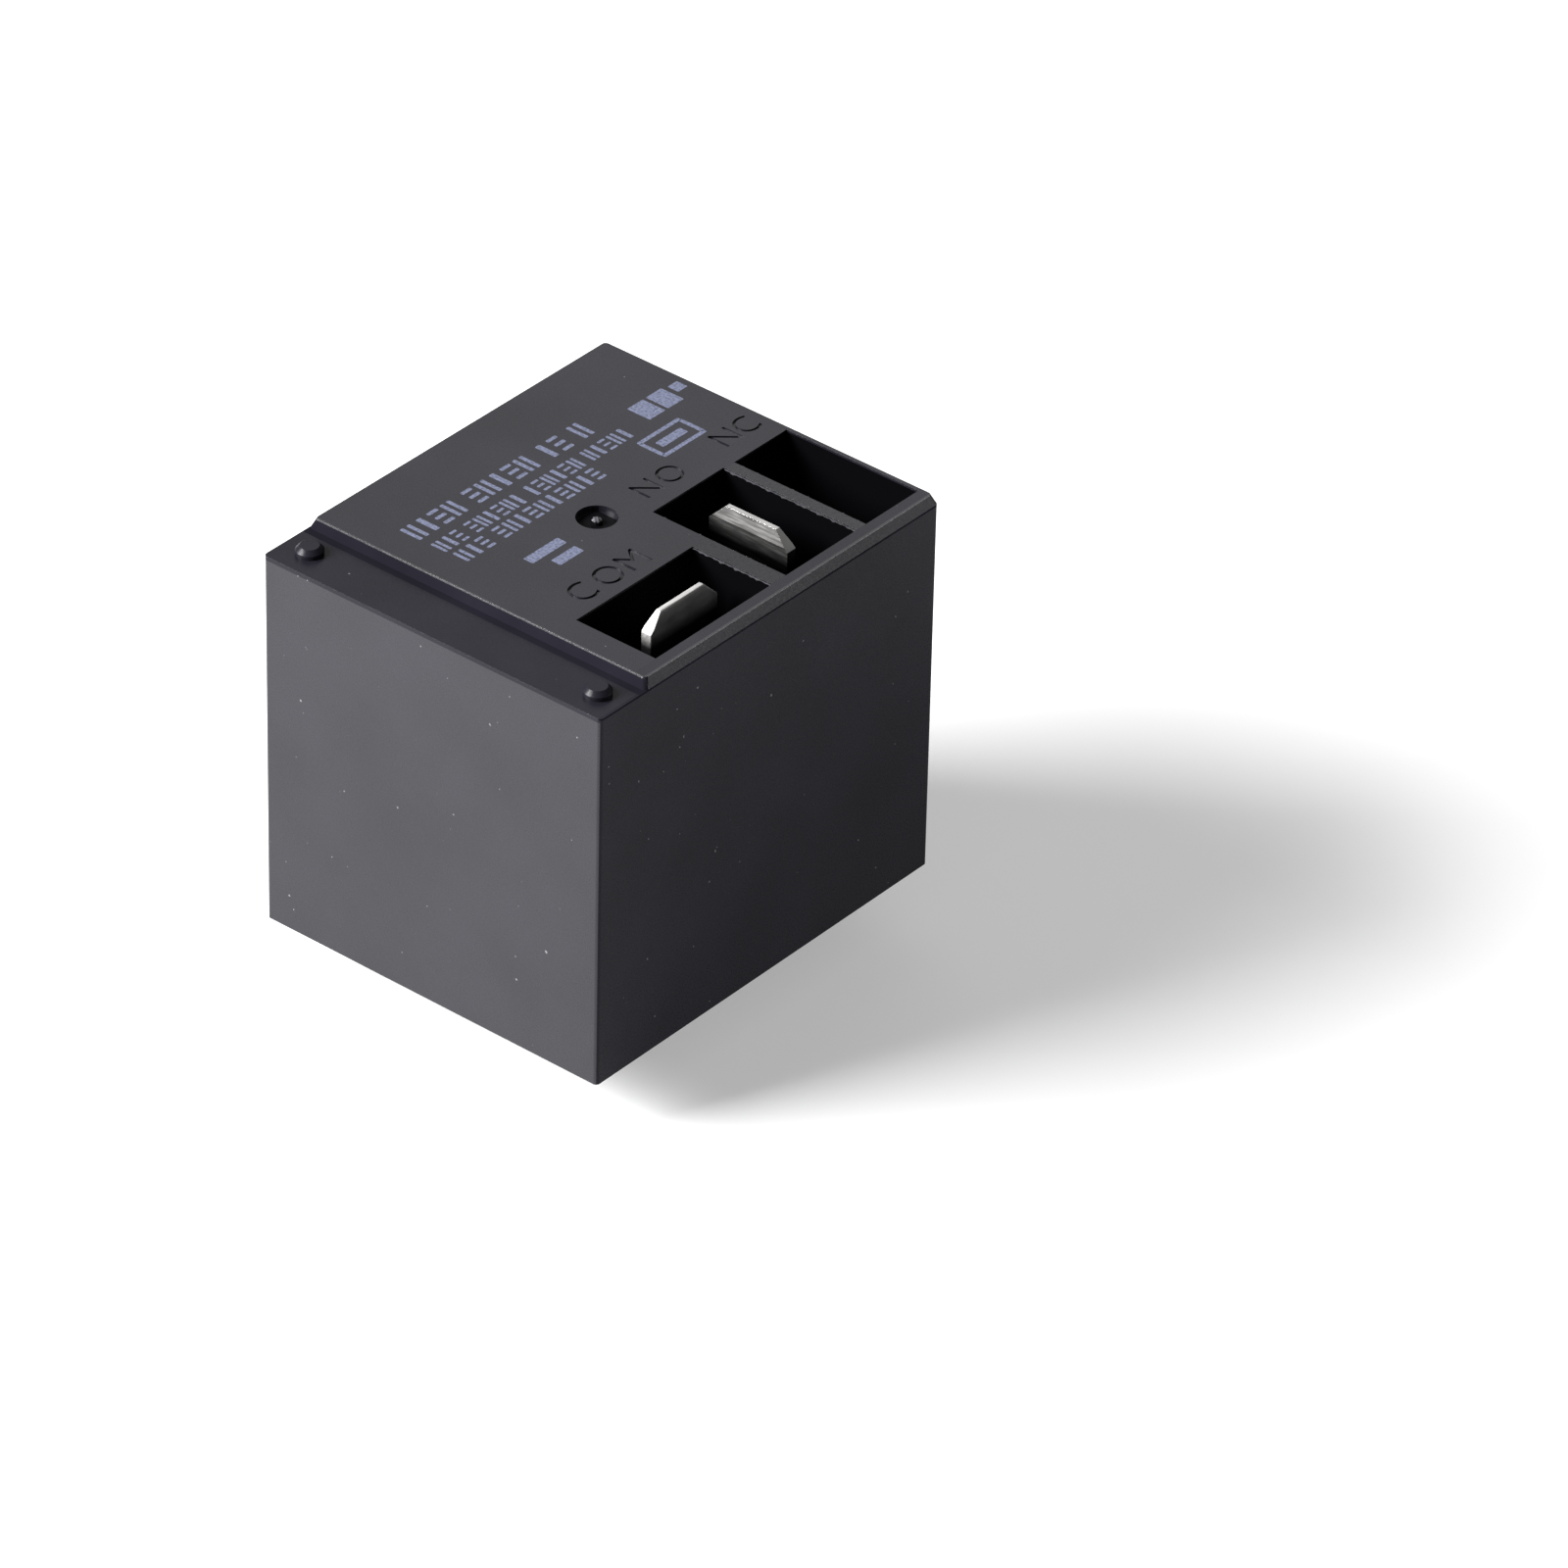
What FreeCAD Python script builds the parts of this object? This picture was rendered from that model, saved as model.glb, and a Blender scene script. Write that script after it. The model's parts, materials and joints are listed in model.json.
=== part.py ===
import FreeCAD, Part
import math
import os
import re
import Sketcher

# Power relay for a printed circuit board, with two push-on terminals on top.
# Row frame: +X across the case, +Y along it, +Z up, origin under the case's middle at the pin tips.
# Every place below is measured from the case's front left corner, at the level of the pin tips.

SIZES = [
    ("case_width", 27.5, "case across, along X"),
    ("case_length", 32.3, "case along, along Y"),
    ("case_height", 28.0, "case from its rim to the raised top"),
    ("case_corner", 0.3, "radius of the case's upright corners"),
    ("wall", 1.0, "case wall at the rim"),
    ("shoulder", 0.2, "step in the wall that the base plate seats against"),
    ("roof", 1.3, "case top under the ledge"),
    ("plateau_rise", 0.7, "raised top above the ledge"),
    ("plateau_slope", 0.3, "lean of the raised top's sides"),
    ("ledge_width", 4.45, "ledge from the front face to the raised top"),
    ("peg_radius", 0.925, "locating peg on the ledge"),
    ("peg_height", 0.6, "locating peg above the ledge"),
    ("peg_bevel", 0.3, "bevel round the pegs' tops"),
    ("peg_inset", 2.0, "peg centre from the side wall"),
    ("peg_setback", 2.05, "peg centre from the front face"),
    ("dimple_radius", 1.35, "moulding gate dimple"),
    ("dimple_depth", 0.45, "moulding gate dimple"),
    ("gate_radius", 0.38, "gate stub in the dimple"),
    ("dimple_along", 13.3, "dimple centre from the left wall"),
    ("dimple_back", 16.1, "dimple centre from the front face"),
    ("well_depth", 8.0, "terminal wells below the raised top"),
    ("well_floor", 1.0, "floor of the wells"),
    ("well_wall", 1.0, "walls of the wells inside the case"),
    ("well_land", 1.2, "from the wells to the right side"),
    ("rear_land", 0.6, "from the empty well to the rear face"),
    ("com_well_front", 6.5, "common well from the front face"),
    ("com_well_length", 11.0, "common well along Y"),
    ("com_well_width", 6.4, "common well along X"),
    ("front_web", 1.35, "web between the common and the make well"),
    ("make_well_length", 6.85, "make well along Y"),
    ("make_well_width", 10.8, "make well along X"),
    ("rear_web", 0.9, "web between the make and the empty well"),
    ("empty_well_width", 10.7, "empty well along X"),
    ("tab_width", 6.35, "push-on tab"),
    ("stock", 0.8, "terminal strip and push-on tab"),
    ("tab_drop", 0.2, "tab tip below the raised top"),
    ("tab_corner", 1.15, "cut corners of the tab's tip"),
    ("tab_bevel", 0.22, "bevel across the tab's tip"),
    ("tab_bevel_length", 0.9, "bevel down the tab"),
    ("slot_play", 0.15, "tab in the slot of its well's floor"),
    ("strip_bend", 0.4, "inner bend radius of the strips"),
    ("com_tab_inset", 3.55, "common tab's middle from its well's right side"),
    ("com_tab_setback", 6.45, "common tab's middle from its well's front"),
    ("make_tab_inset", 6.0, "make tab's middle from its well's right side"),
    ("make_tab_setback", 3.55, "make tab's front from its well's front"),
    ("pin_reach", 4.0, "pins below the rim"),
    ("pin_tip", 0.25, "chamfer of the pin tips"),
    ("pin_play", 0.02, "pins in their holes"),
    ("coil_pin_radius", 0.5, "coil pins, below the resin"),
    ("coil_pin_root", 0.66, "coil pins' thicker root, from the resin up"),
    ("coil_pin_neck", 0.4, "where the coil pins' root begins, above the rim"),
    ("coil_pin_pitch", 10.16, "coil pins apart"),
    ("coil_pin_setback", 1.45, "coil pins from the bobbin flange's front"),
    ("coil_pin_post", 2.6, "coil pins above the lower flange"),
    ("com_pin_side", 1.3, "common pin, square"),
    ("com_pin_inset", 4.2, "common pin from the left wall"),
    ("make_pin_width", 1.6, "make pin across"),
    ("make_pin_inset", 5.5, "make pin's middle from the right side"),
    ("potting_recess", 1.0, "sealing resin below the rim"),
    ("potting_depth", 0.9, "sealing resin"),
    ("meniscus_rise", 0.5, "resin drawn up at the walls"),
    ("meniscus_width", 1.3, "resin drawn up at the walls"),
    ("meniscus_lip", 0.1, "top of the drawn-up resin at the walls"),
    ("pin_cone_rise", 0.35, "resin drawn up at the pins"),
    ("pin_cone", 0.7, "resin drawn out around the pins"),
    ("pin_cone_lip", 0.1, "top of the drawn-up resin at the pins"),
    ("vent_radius", 1.7, "round recess in the resin"),
    ("vent_nib", 0.45, "vent nib in the recess"),
    ("vent_nib_height", 0.45, "vent nib below the base plate"),
    ("vent_along", 13.1, "recess from the left wall"),
    ("vent_back", 13.1, "recess from the front face"),
    ("base_thickness", 1.2, "base plate"),
    ("base_play", 0.05, "base plate in the case"),
    ("boss_height", 1.4, "terminal bosses on the base plate"),
    ("boss_wall", 0.8, "terminal bosses around the pins"),
    ("terminal_gap", 1.15, "between the common and the make strip"),
    ("strip_height", 6.9, "common strip"),
    ("barrier", 0.35, "insulating barrier"),
    ("barrier_play", 0.1, "barrier to its neighbours"),
    ("spring_room", 2.6, "between the case wall and the yoke's back"),
    ("spring_offset", 0.085, "spring from the middle of its room, to the yoke"),
    ("yoke_thickness", 1.6, "yoke"),
    ("yoke_width", 13.6, "yoke and armature"),
    ("yoke_bend", 1.5, "outer bend radius of the yoke"),
    ("lug_width", 1.2, "lugs at the ends of the yoke's top edge"),
    ("lug_height", 0.9, "lugs above the yoke's top edge"),
    ("lug_play", 0.2, "armature between the lugs"),
    ("finger_width", 0.8, "spring fingers on the yoke and the armature"),
    ("finger_thickness", 0.6, "spring fingers"),
    ("finger_reach", 2.1, "spring fingers behind the yoke"),
    ("finger_level", 2.4, "yoke's spring finger above the base plate"),
    ("coil_offset", 0.55, "coil's middle to the left of the case's middle"),
    ("bobbin_play", 0.05, "bobbin against the yoke and the core"),
    ("bobbin_wall", 0.8, "bobbin tube"),
    ("low_flange", 1.0, "bobbin's lower flange"),
    ("high_flange", 0.9, "bobbin's upper flange"),
    ("flange_margin", 0.75, "flange beyond the winding"),
    ("flange_corner", 1.2, "cut corners of the flanges"),
    ("collar_radius", 0.95, "bobbin collars around the coil pins"),
    ("window_radius", 1.5, "openings over the coil pins in the upper flange"),
    ("tape", 0.12, "coil tape"),
    ("wire", 0.22, "coil lead wire"),
    ("lead_wraps", 2, "coil lead's wraps round its pin"),
    ("core_radius", 3.0, "core"),
    ("tenon_radius", 2.4, "core's tenon staked in the yoke"),
    ("pole_radius", 4.6, "pole head"),
    ("pole_thickness", 0.7, "pole head"),
    ("armature_thickness", 1.5, "armature"),
    ("armature_swing", 4.1, "armature's travel in degrees"),
    ("armature_setback", 0.3, "armature's end from the barrier side of the flange"),
    ("residual_gap", 0.1, "armature to the pole when pulled in"),
    ("head_room", 0.2, "leaf to the wells' floors when released"),
    ("stop_play", 0.05, "armature to its stop when released"),
    ("stop_width", 1.2, "stop rib across"),
    ("stop_depth", 0.8, "stop rib along"),
    ("leaf", 0.35, "contact leaf"),
    ("leaf_width", 6.0, "contact leaf"),
    ("leaf_front", 4.2, "leaf's front from the hinge"),
    ("leaf_tip", 1.9, "leaf beyond the contact"),
    ("leaf_tip_cut", 1.2, "cut corners of the leaf's tip"),
    ("rivet_radius", 0.8, "staked rivets"),
    ("rivet_head", 1.3, "staked rivet heads"),
    ("rivet_head_height", 0.45, "staked rivet heads"),
    ("rivet_front", 6.3, "front rivet from the hinge"),
    ("rivet_pitch", 5.2, "rivets apart"),
    ("contact_setback", 2.3, "contacts from the make strip's front"),
    ("contact_radius", 1.8, "moving contact"),
    ("contact_height", 1.1, "moving contact's head"),
    ("contact_tail", 0.35, "contacts' staked tails"),
    ("contact_spread", 0.35, "contacts' tails beyond their shanks"),
    ("contact_shank", 0.9, "contacts' shanks"),
    ("contact_dome", 0.35, "rounding of the contact faces, along their height"),
    ("contact_crown", 0.5, "rounding of the contact faces, inwards"),
    ("contact_play", 0.05, "contacts when pulled in"),
    ("fixed_contact_radius", 1.9, "fixed contact"),
    ("fixed_contact_height", 1.2, "fixed contact's head"),
    ("shelf_width", 5.2, "shelf that carries the fixed contact"),
    ("arm_height", 4.3, "arm that carries the shelf"),
    ("braid_radius", 0.6, "copper braid"),
    ("braid_inset", 6.2, "braid on the common strip from the left wall"),
    ("braid_bend", 2.6, "radius of the braid's loop"),
    ("braid_lap", 3.2, "braid welded to the common strip"),
    ("spring_coil", 0.85, "return spring's mean radius"),
    ("spring_wire", 0.24, "return spring's wire"),
    ("spring_turns", 8, "return spring's turns"),
]

SAME_LENGTH = 1e-4

doc = FreeCAD.newDocument("pcb_power_relay")
dims = doc.addObject("Spreadsheet::Sheet", "dims")
for row, (alias, number, meaning) in enumerate(SIZES, start=1):
    dims.set(f"A{row}", meaning)
    dims.set(f"B{row}", str(number))
    dims.setAlias(f"B{row}", alias)
doc.recompute()
ALIASES = {alias for alias, number, meaning in SIZES}
SUB_PARTS = []

# Levels, from the pin tips up

plateau = "(pin_reach + case_height)"
ledge = f"({plateau} - plateau_rise)"
roof_under = f"({ledge} - roof)"
well_bottom = f"({plateau} - well_depth)"
well_under = f"({well_bottom} - well_floor)"
tab_tip = f"({plateau} - tab_drop)"
potting_face = "(pin_reach + potting_recess)"
base_under = f"({potting_face} + potting_depth)"
base_top = f"({base_under} + base_thickness)"
boss_top = f"({base_top} + boss_height)"
foot_top = f"({base_top} + yoke_thickness)"
winding_low = f"({foot_top} + low_flange)"

# Places along Y, from the front face back

lining = "(wall + shoulder)"
make_well_front = "(com_well_front + com_well_length + front_web)"
empty_well_front = f"({make_well_front} + make_well_length + rear_web)"
empty_well_rear = "(case_length - rear_land)"
make_front = f"({make_well_front} + make_tab_setback)"
strip_rear = f"({make_front} - terminal_gap)"
strip_front = f"({strip_rear} - stock)"
barrier_front = f"({strip_front} - barrier_play - barrier)"
flange_rear = f"({barrier_front} - barrier_play)"
hinge_back = f"({lining} + spring_room)"
flange_front = f"({hinge_back} + yoke_thickness + bobbin_play)"
coil_back = f"(({flange_front} + {flange_rear}) / 2)"
flange_half = f"(({flange_rear} - {flange_front}) / 2)"
coil_pin_back = f"({flange_front} + coil_pin_setback)"
com_pin_back = f"({strip_front} - com_pin_side / 2)"
contact_back = f"({make_front} + contact_setback)"
com_tab_back = "(com_well_front + com_tab_setback)"
spring_back = f"({lining} + spring_room / 2 + spring_offset)"

# Places along X, from the left side

coil_along = "(case_width / 2 - coil_offset)"
well_right = "(case_width - well_land)"
com_tab_along = f"({well_right} - com_tab_inset)"
make_tab_along = f"({well_right} - make_tab_inset)"
make_pin_along = "(case_width - make_pin_inset)"
arm_left = f"({com_tab_along} - stock / 2)"

# The armature's own measures, from the hinge line, and the levels that follow from its swing

armature_reach = f"({flange_rear} - armature_setback - {hinge_back})"
contact_reach = f"({contact_back} - {hinge_back})"
leaf_reach = f"({contact_reach} + leaf_tip)"
armature_top = "(residual_gap + armature_thickness)"
leaf_top = f"({armature_top} + leaf)"
moving_stack = f"({leaf_top} + contact_tail)"
hinge_level = (f"({well_under} - head_room - {leaf_reach} * sin(armature_swing)"
               f" - {moving_stack} * cos(armature_swing))")
winding_high = f"({hinge_level} - pole_thickness - high_flange)"
winding_radius = f"({flange_half} - flange_margin)"
bobbin_bore = "(core_radius + bobbin_play)"
fixed_face = f"({hinge_level} + {armature_top} - contact_height - contact_play)"
shelf_top = f"({fixed_face} - fixed_contact_height)"
stop_reach = f"({armature_reach} - stop_depth / 4)"
stop_level = (f"({hinge_level} + {stop_reach} * sin(armature_swing)"
              f" + {armature_top} * cos(armature_swing) + stop_play)")


def sheet_text(text):
    """The expression with each size pointing at its cell."""
    return re.sub(r"[a-z_]+", lambda word: f"dims.{word[0]}" if word[0] in ALIASES else word[0], str(text))


def value(text):
    """The expression's number, for shapes and for a sketch's first guess."""
    return float(dims.evalExpression(str(text)))


def bind(thing, name, text):
    """Ties a property or a constraint to the sheet."""
    thing.setExpression(name, sheet_text(text))


def corner_body(label):
    """A body whose origin is the case's front left corner at the level of the pin tips."""
    body = doc.addObject("PartDesign::Body", label)
    body.Label = label
    bind(body, "Placement.Base.x", "-case_width / 2")
    bind(body, "Placement.Base.y", "-case_length / 2")
    SUB_PARTS.append(body)
    return body


def standing_body(label, along, back):
    """A body whose Z axis stands at a place in the case, for turned pieces."""
    body = corner_body(label)
    bind(body, "Placement.Base.x", f"{along} - case_width / 2")
    bind(body, "Placement.Base.y", f"{back} - case_length / 2")
    return body


def on_hinge(piece):
    """Sets a piece drawn from the hinge line, pulled in and level, to its released position."""
    piece.Placement = FreeCAD.Placement(FreeCAD.Vector(), FreeCAD.Rotation(FreeCAD.Vector(1, 0, 0), 1))
    bind(piece, "Placement.Base.x", f"{coil_along} - case_width / 2")
    bind(piece, "Placement.Base.y", f"{hinge_back} - case_length / 2")
    bind(piece, "Placement.Base.z", hinge_level)
    bind(piece, "Placement.Rotation.Angle", "armature_swing")


def hinge_body(label):
    """A body that turns with the armature."""
    body = doc.addObject("PartDesign::Body", label)
    body.Label = label
    on_hinge(body)
    SUB_PARTS.append(body)
    return body


def new_sketch(body, name, plane, level):
    """A sketch on one of the body's own planes, moved out to a level."""
    sketch = body.newObject("Sketcher::SketchObject", name)
    origin_plane = [datum for datum in body.Origin.OriginFeatures if datum.Role == f"{plane}_Plane"][0]
    sketch.AttachmentSupport = (origin_plane, [""])
    sketch.MapMode = "FlatFace"
    sign = "-1 * " if plane == "XZ" else ""
    bind(sketch, "AttachmentOffset.Base.z", f"{sign}({level})")
    return sketch


def hold(sketch, geometry, point, across, up):
    """Holds one point of a sketch at its place from the sketch's origin."""
    for kind, place in (("DistanceX", across), ("DistanceY", up)):
        number = sketch.addConstraint(Sketcher.Constraint(kind, -1, 1, geometry, point, value(place)))
        bind(sketch, f"Constraints[{number}]", place)


def outline(body, name, plane, level, corners):
    """A closed outline of straight lines through the corners."""
    sketch = new_sketch(body, name, plane, level)
    places = [FreeCAD.Vector(value(across), value(up), 0) for across, up in corners]
    following = places[1:] + places[:1]
    for start, end in zip(places, following):
        sketch.addGeometry(Part.LineSegment(start, end))
    for number in range(len(corners)):
        sketch.addConstraint(Sketcher.Constraint("Coincident", number, 2, (number + 1) % len(corners), 1))
    for number, (across, up) in enumerate(corners):
        hold(sketch, number, 1, across, up)
    return sketch


def box_outline(body, name, level, left, right, front, rear):
    """A rectangle seen from above."""
    return outline(body, name, "XY", level, [(left, front), (right, front), (right, rear), (left, rear)])


def round_outline(body, name, level, left, right, front, rear, radius):
    """A rectangle with round corners seen from above."""
    sketch = new_sketch(body, name, "XY", level)
    sides = [
        ((f"{left} + {radius}", front), (f"{right} - {radius}", front)),
        ((right, f"{front} + {radius}"), (right, f"{rear} - {radius}")),
        ((f"{right} - {radius}", rear), (f"{left} + {radius}", rear)),
        ((left, f"{rear} - {radius}"), (left, f"{front} + {radius}")),
    ]
    for start, end in sides:
        ends = [FreeCAD.Vector(value(across), value(up), 0) for across, up in (start, end)]
        sketch.addGeometry(Part.LineSegment(*ends))
    turn = value(radius)
    centres = [
        (value(right) - turn, value(front) + turn, 1.5),
        (value(right) - turn, value(rear) - turn, 0.0),
        (value(left) + turn, value(rear) - turn, 0.5),
        (value(left) + turn, value(front) + turn, 1.0),
    ]
    for across, up, start in centres:
        circle = Part.Circle(FreeCAD.Vector(across, up, 0), FreeCAD.Vector(0, 0, 1), turn)
        sketch.addGeometry(Part.ArcOfCircle(circle, start * math.pi, (start + 0.5) * math.pi))
    for side in range(4):
        arc = 4 + side
        sketch.addConstraint(Sketcher.Constraint("Tangent", side, 2, arc, 1))
        sketch.addConstraint(Sketcher.Constraint("Coincident", arc, 2, (side + 1) % 4, 1))
    for side, (start, end) in enumerate(sides):
        hold(sketch, side, 1, *start)
        hold(sketch, side, 2, *end)
    return sketch


def circle_outline(body, name, level, along, back, radius):
    """A circle seen from above."""
    sketch = new_sketch(body, name, "XY", level)
    centre = FreeCAD.Vector(value(along), value(back), 0)
    sketch.addGeometry(Part.Circle(centre, FreeCAD.Vector(0, 0, 1), value(radius)))
    hold(sketch, 0, 3, along, back)
    number = sketch.addConstraint(Sketcher.Constraint("Radius", 0, value(radius)))
    bind(sketch, f"Constraints[{number}]", radius)
    return sketch


def plane_of(sketch):
    """The body plane that the sketch lies on."""
    return sketch.AttachmentSupport[0][0].Role[:2]


def pad(body, sketch, length):
    """Adds the sketch's outline, grown along the positive axis."""
    feature = body.newObject("PartDesign::Pad", f"{sketch.Name}_pad")
    feature.Profile = sketch
    feature.Reversed = plane_of(sketch) == "XZ"
    bind(feature, "Length", length)
    return feature


def cut(body, sketch, length):
    """Takes the sketch's outline away along the positive axis, and makes sure that it cut."""
    doc.recompute()
    before = body.Shape.Volume
    feature = body.newObject("PartDesign::Pocket", f"{sketch.Name}_cut")
    feature.Profile = sketch
    feature.Reversed = plane_of(sketch) != "XZ"
    bind(feature, "Length", length)
    doc.recompute()
    if body.Shape.Volume >= before:
        raise RuntimeError(f"{feature.Name} cut nothing")
    return feature


def loft(body, kind, first, second):
    """Joins two outlines by a solid, added or taken away."""
    feature = body.newObject(f"PartDesign::{kind}Loft", f"{first.Name}_loft")
    feature.Profile = first
    feature.Sections = [second]
    return feature


def turned(body, profile):
    """A turned piece from its half profile, given as radius and height."""
    sketch = outline(body, "profile", "XZ", "0", profile)
    feature = body.newObject("PartDesign::Revolution", "turned")
    feature.Profile = sketch
    feature.ReferenceAxis = (sketch, ["V_Axis"])
    feature.Angle = 360
    return feature


def edges(feature, wanted):
    """The names of the feature's edges that fit the test."""
    doc.recompute()
    return [f"Edge{number}" for number, edge in enumerate(feature.Shape.Edges, start=1) if wanted(edge)]


def fillet(body, feature, wanted, radius):
    """Rounds the edges that fit the test."""
    rounding = body.newObject("PartDesign::Fillet", "rounding")
    rounding.Base = (feature, edges(feature, wanted))
    bind(rounding, "Radius", radius)
    return rounding


def chamfer(body, feature, wanted, size):
    """Bevels the edges that fit the test."""
    bevel = body.newObject("PartDesign::Chamfer", "bevel")
    bevel.Base = (feature, edges(feature, wanted))
    bind(bevel, "Size", size)
    return bevel


def near(first, second):
    """Whether two lengths are the same."""
    return abs(first - second) < SAME_LENGTH


def upright(edge):
    """Whether an edge is a straight line along Z."""
    box = edge.BoundBox
    return near(box.XLength, 0) and near(box.YLength, 0)


def at_level(edge, level):
    """Whether the whole edge lies at a level."""
    box = edge.BoundBox
    return near(box.ZMin, level) and near(box.ZMax, level)


def make_cover():
    """Moulded case: open below, with a ledge, two pegs, a raised top and three terminal wells."""
    body = corner_body("cover")
    block = round_outline(body, "block", "pin_reach", "0", "case_width", "0", "case_length", "case_corner")
    pad(body, block, "case_height - plateau_rise")
    low = round_outline(body, "plateau_low", ledge, "0", "case_width",
                        "ledge_width - plateau_slope", "case_length", "case_corner")
    high = round_outline(body, "plateau_high", plateau, "plateau_slope", "case_width - plateau_slope",
                         "ledge_width", "case_length - plateau_slope", "case_corner")
    loft(body, "Additive", low, high)
    mouth = box_outline(body, "mouth", "pin_reach", "wall", "case_width - wall",
                        "wall", "case_length - wall")
    cut(body, mouth, f"{base_top} - pin_reach")
    inside = box_outline(body, "inside", base_top, lining, f"case_width - {lining}",
                         lining, f"case_length - {lining}")
    cut(body, inside, f"{roof_under} - {base_top}")
    wells = {
        "com": ("com_well_width", "com_well_front", "(com_well_front + com_well_length)"),
        "make": ("make_well_width", make_well_front, f"({make_well_front} + make_well_length)"),
        "empty": ("empty_well_width", empty_well_front, empty_well_rear),
    }
    for name, (width, front, rear) in wells.items():
        rear_wall = f"case_length - {lining} / 2" if name == "empty" else f"{rear} + well_wall"
        box = box_outline(body, f"{name}_box", well_under, f"{well_right} - {width} - well_wall",
                          f"case_width - {lining} / 2", f"{front} - well_wall", rear_wall)
        pad(body, box, f"{roof_under} - {well_under} + roof / 2")
    for name, (width, front, rear) in wells.items():
        well = box_outline(body, f"{name}_well", well_bottom, f"{well_right} - {width}", well_right,
                           front, rear)
        cut(body, well, "well_depth")
    half_slot = "(stock / 2 + slot_play)"
    half_tab = "(tab_width / 2 + slot_play)"
    com_slot = box_outline(body, "com_slot", well_under, f"{com_tab_along} - {half_slot}",
                           f"{com_tab_along} + {half_slot}", f"{com_tab_back} - {half_tab}",
                           f"{com_tab_back} + {half_tab}")
    cut(body, com_slot, "well_floor")
    make_slot = box_outline(body, "make_slot", well_under, f"{make_tab_along} - {half_tab}",
                            f"{make_tab_along} + {half_tab}", f"{make_front} - slot_play",
                            f"{make_front} + stock + slot_play")
    cut(body, make_slot, "well_floor")
    stop_rear = f"({hinge_back} + {stop_reach} * cos(armature_swing) - {armature_top} * sin(armature_swing))"
    stop_left = f"({well_right} - make_well_width + well_wall)"
    stop = box_outline(body, "stop", stop_level, stop_left, f"{stop_left} + stop_width",
                       f"{stop_rear} - stop_depth", stop_rear)
    pad(body, stop, f"{well_under} - {stop_level} + well_floor / 2")
    dimple = circle_outline(body, "dimple", f"{plateau} - dimple_depth", "dimple_along", "dimple_back",
                            "dimple_radius")
    cut(body, dimple, "dimple_depth")
    gate = circle_outline(body, "gate", f"{plateau} - dimple_depth", "dimple_along", "dimple_back",
                          "gate_radius")
    pad(body, gate, "dimple_depth / 2")
    for side, along in (("left", "peg_inset"), ("right", "case_width - peg_inset")):
        peg = circle_outline(body, f"peg_{side}", ledge, along, "peg_setback", "peg_radius")
        last = pad(body, peg, "peg_height")
    peg_top = value(f"{ledge} + peg_height")
    chamfer(body, last, lambda edge: at_level(edge, peg_top), "peg_bevel")


def make_base_plate():
    """Moulded base: seats on the case's shoulder and carries the yoke, the pins and the barrier."""
    body = corner_body("base_plate")
    edge = "(wall + base_play)"
    plate = box_outline(body, "plate", base_under, edge, f"case_width - {edge}",
                        edge, f"case_length - {edge}")
    pad(body, plate, "base_thickness")
    com_half = "(com_pin_side / 2 + boss_wall)"
    com_boss = box_outline(body, "com_boss", base_top, f"com_pin_inset - {com_half}",
                           f"com_pin_inset + {com_half}", f"{com_pin_back} - {com_half}",
                           f"{strip_rear} + barrier_play")
    pad(body, com_boss, "boss_height")
    make_half = "(make_pin_width / 2 + boss_wall)"
    make_boss = box_outline(body, "make_boss", base_top, f"{make_pin_along} - {make_half}",
                            f"{make_pin_along} + {make_half}", f"{make_front} - boss_wall",
                            f"{make_front} + stock + boss_wall")
    pad(body, make_boss, "boss_height")
    com_hole_half = "(com_pin_side / 2 + pin_play)"
    com_hole = box_outline(body, "com_hole", base_under, f"com_pin_inset - {com_hole_half}",
                           f"com_pin_inset + {com_hole_half}", f"{com_pin_back} - {com_hole_half}",
                           f"{com_pin_back} + {com_hole_half}")
    cut(body, com_hole, "base_thickness + boss_height")
    make_hole_half = "(make_pin_width / 2 + pin_play)"
    make_hole = box_outline(body, "make_hole", base_under, f"{make_pin_along} - {make_hole_half}",
                            f"{make_pin_along} + {make_hole_half}", f"{make_front} - pin_play",
                            f"{make_front} + stock + pin_play")
    cut(body, make_hole, "base_thickness + boss_height")
    for side, sign in (("left", "-"), ("right", "+")):
        along = f"{coil_along} {sign} coil_pin_pitch / 2"
        hole = circle_outline(body, f"coil_pin_hole_{side}", base_under, along, coil_pin_back,
                              "coil_pin_root + pin_play")
        cut(body, hole, "base_thickness")
    nib = circle_outline(body, "vent_nib", f"{base_under} - vent_nib_height", "vent_along", "vent_back",
                         "vent_nib")
    pad(body, nib, "vent_nib_height + base_thickness / 2")


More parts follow.
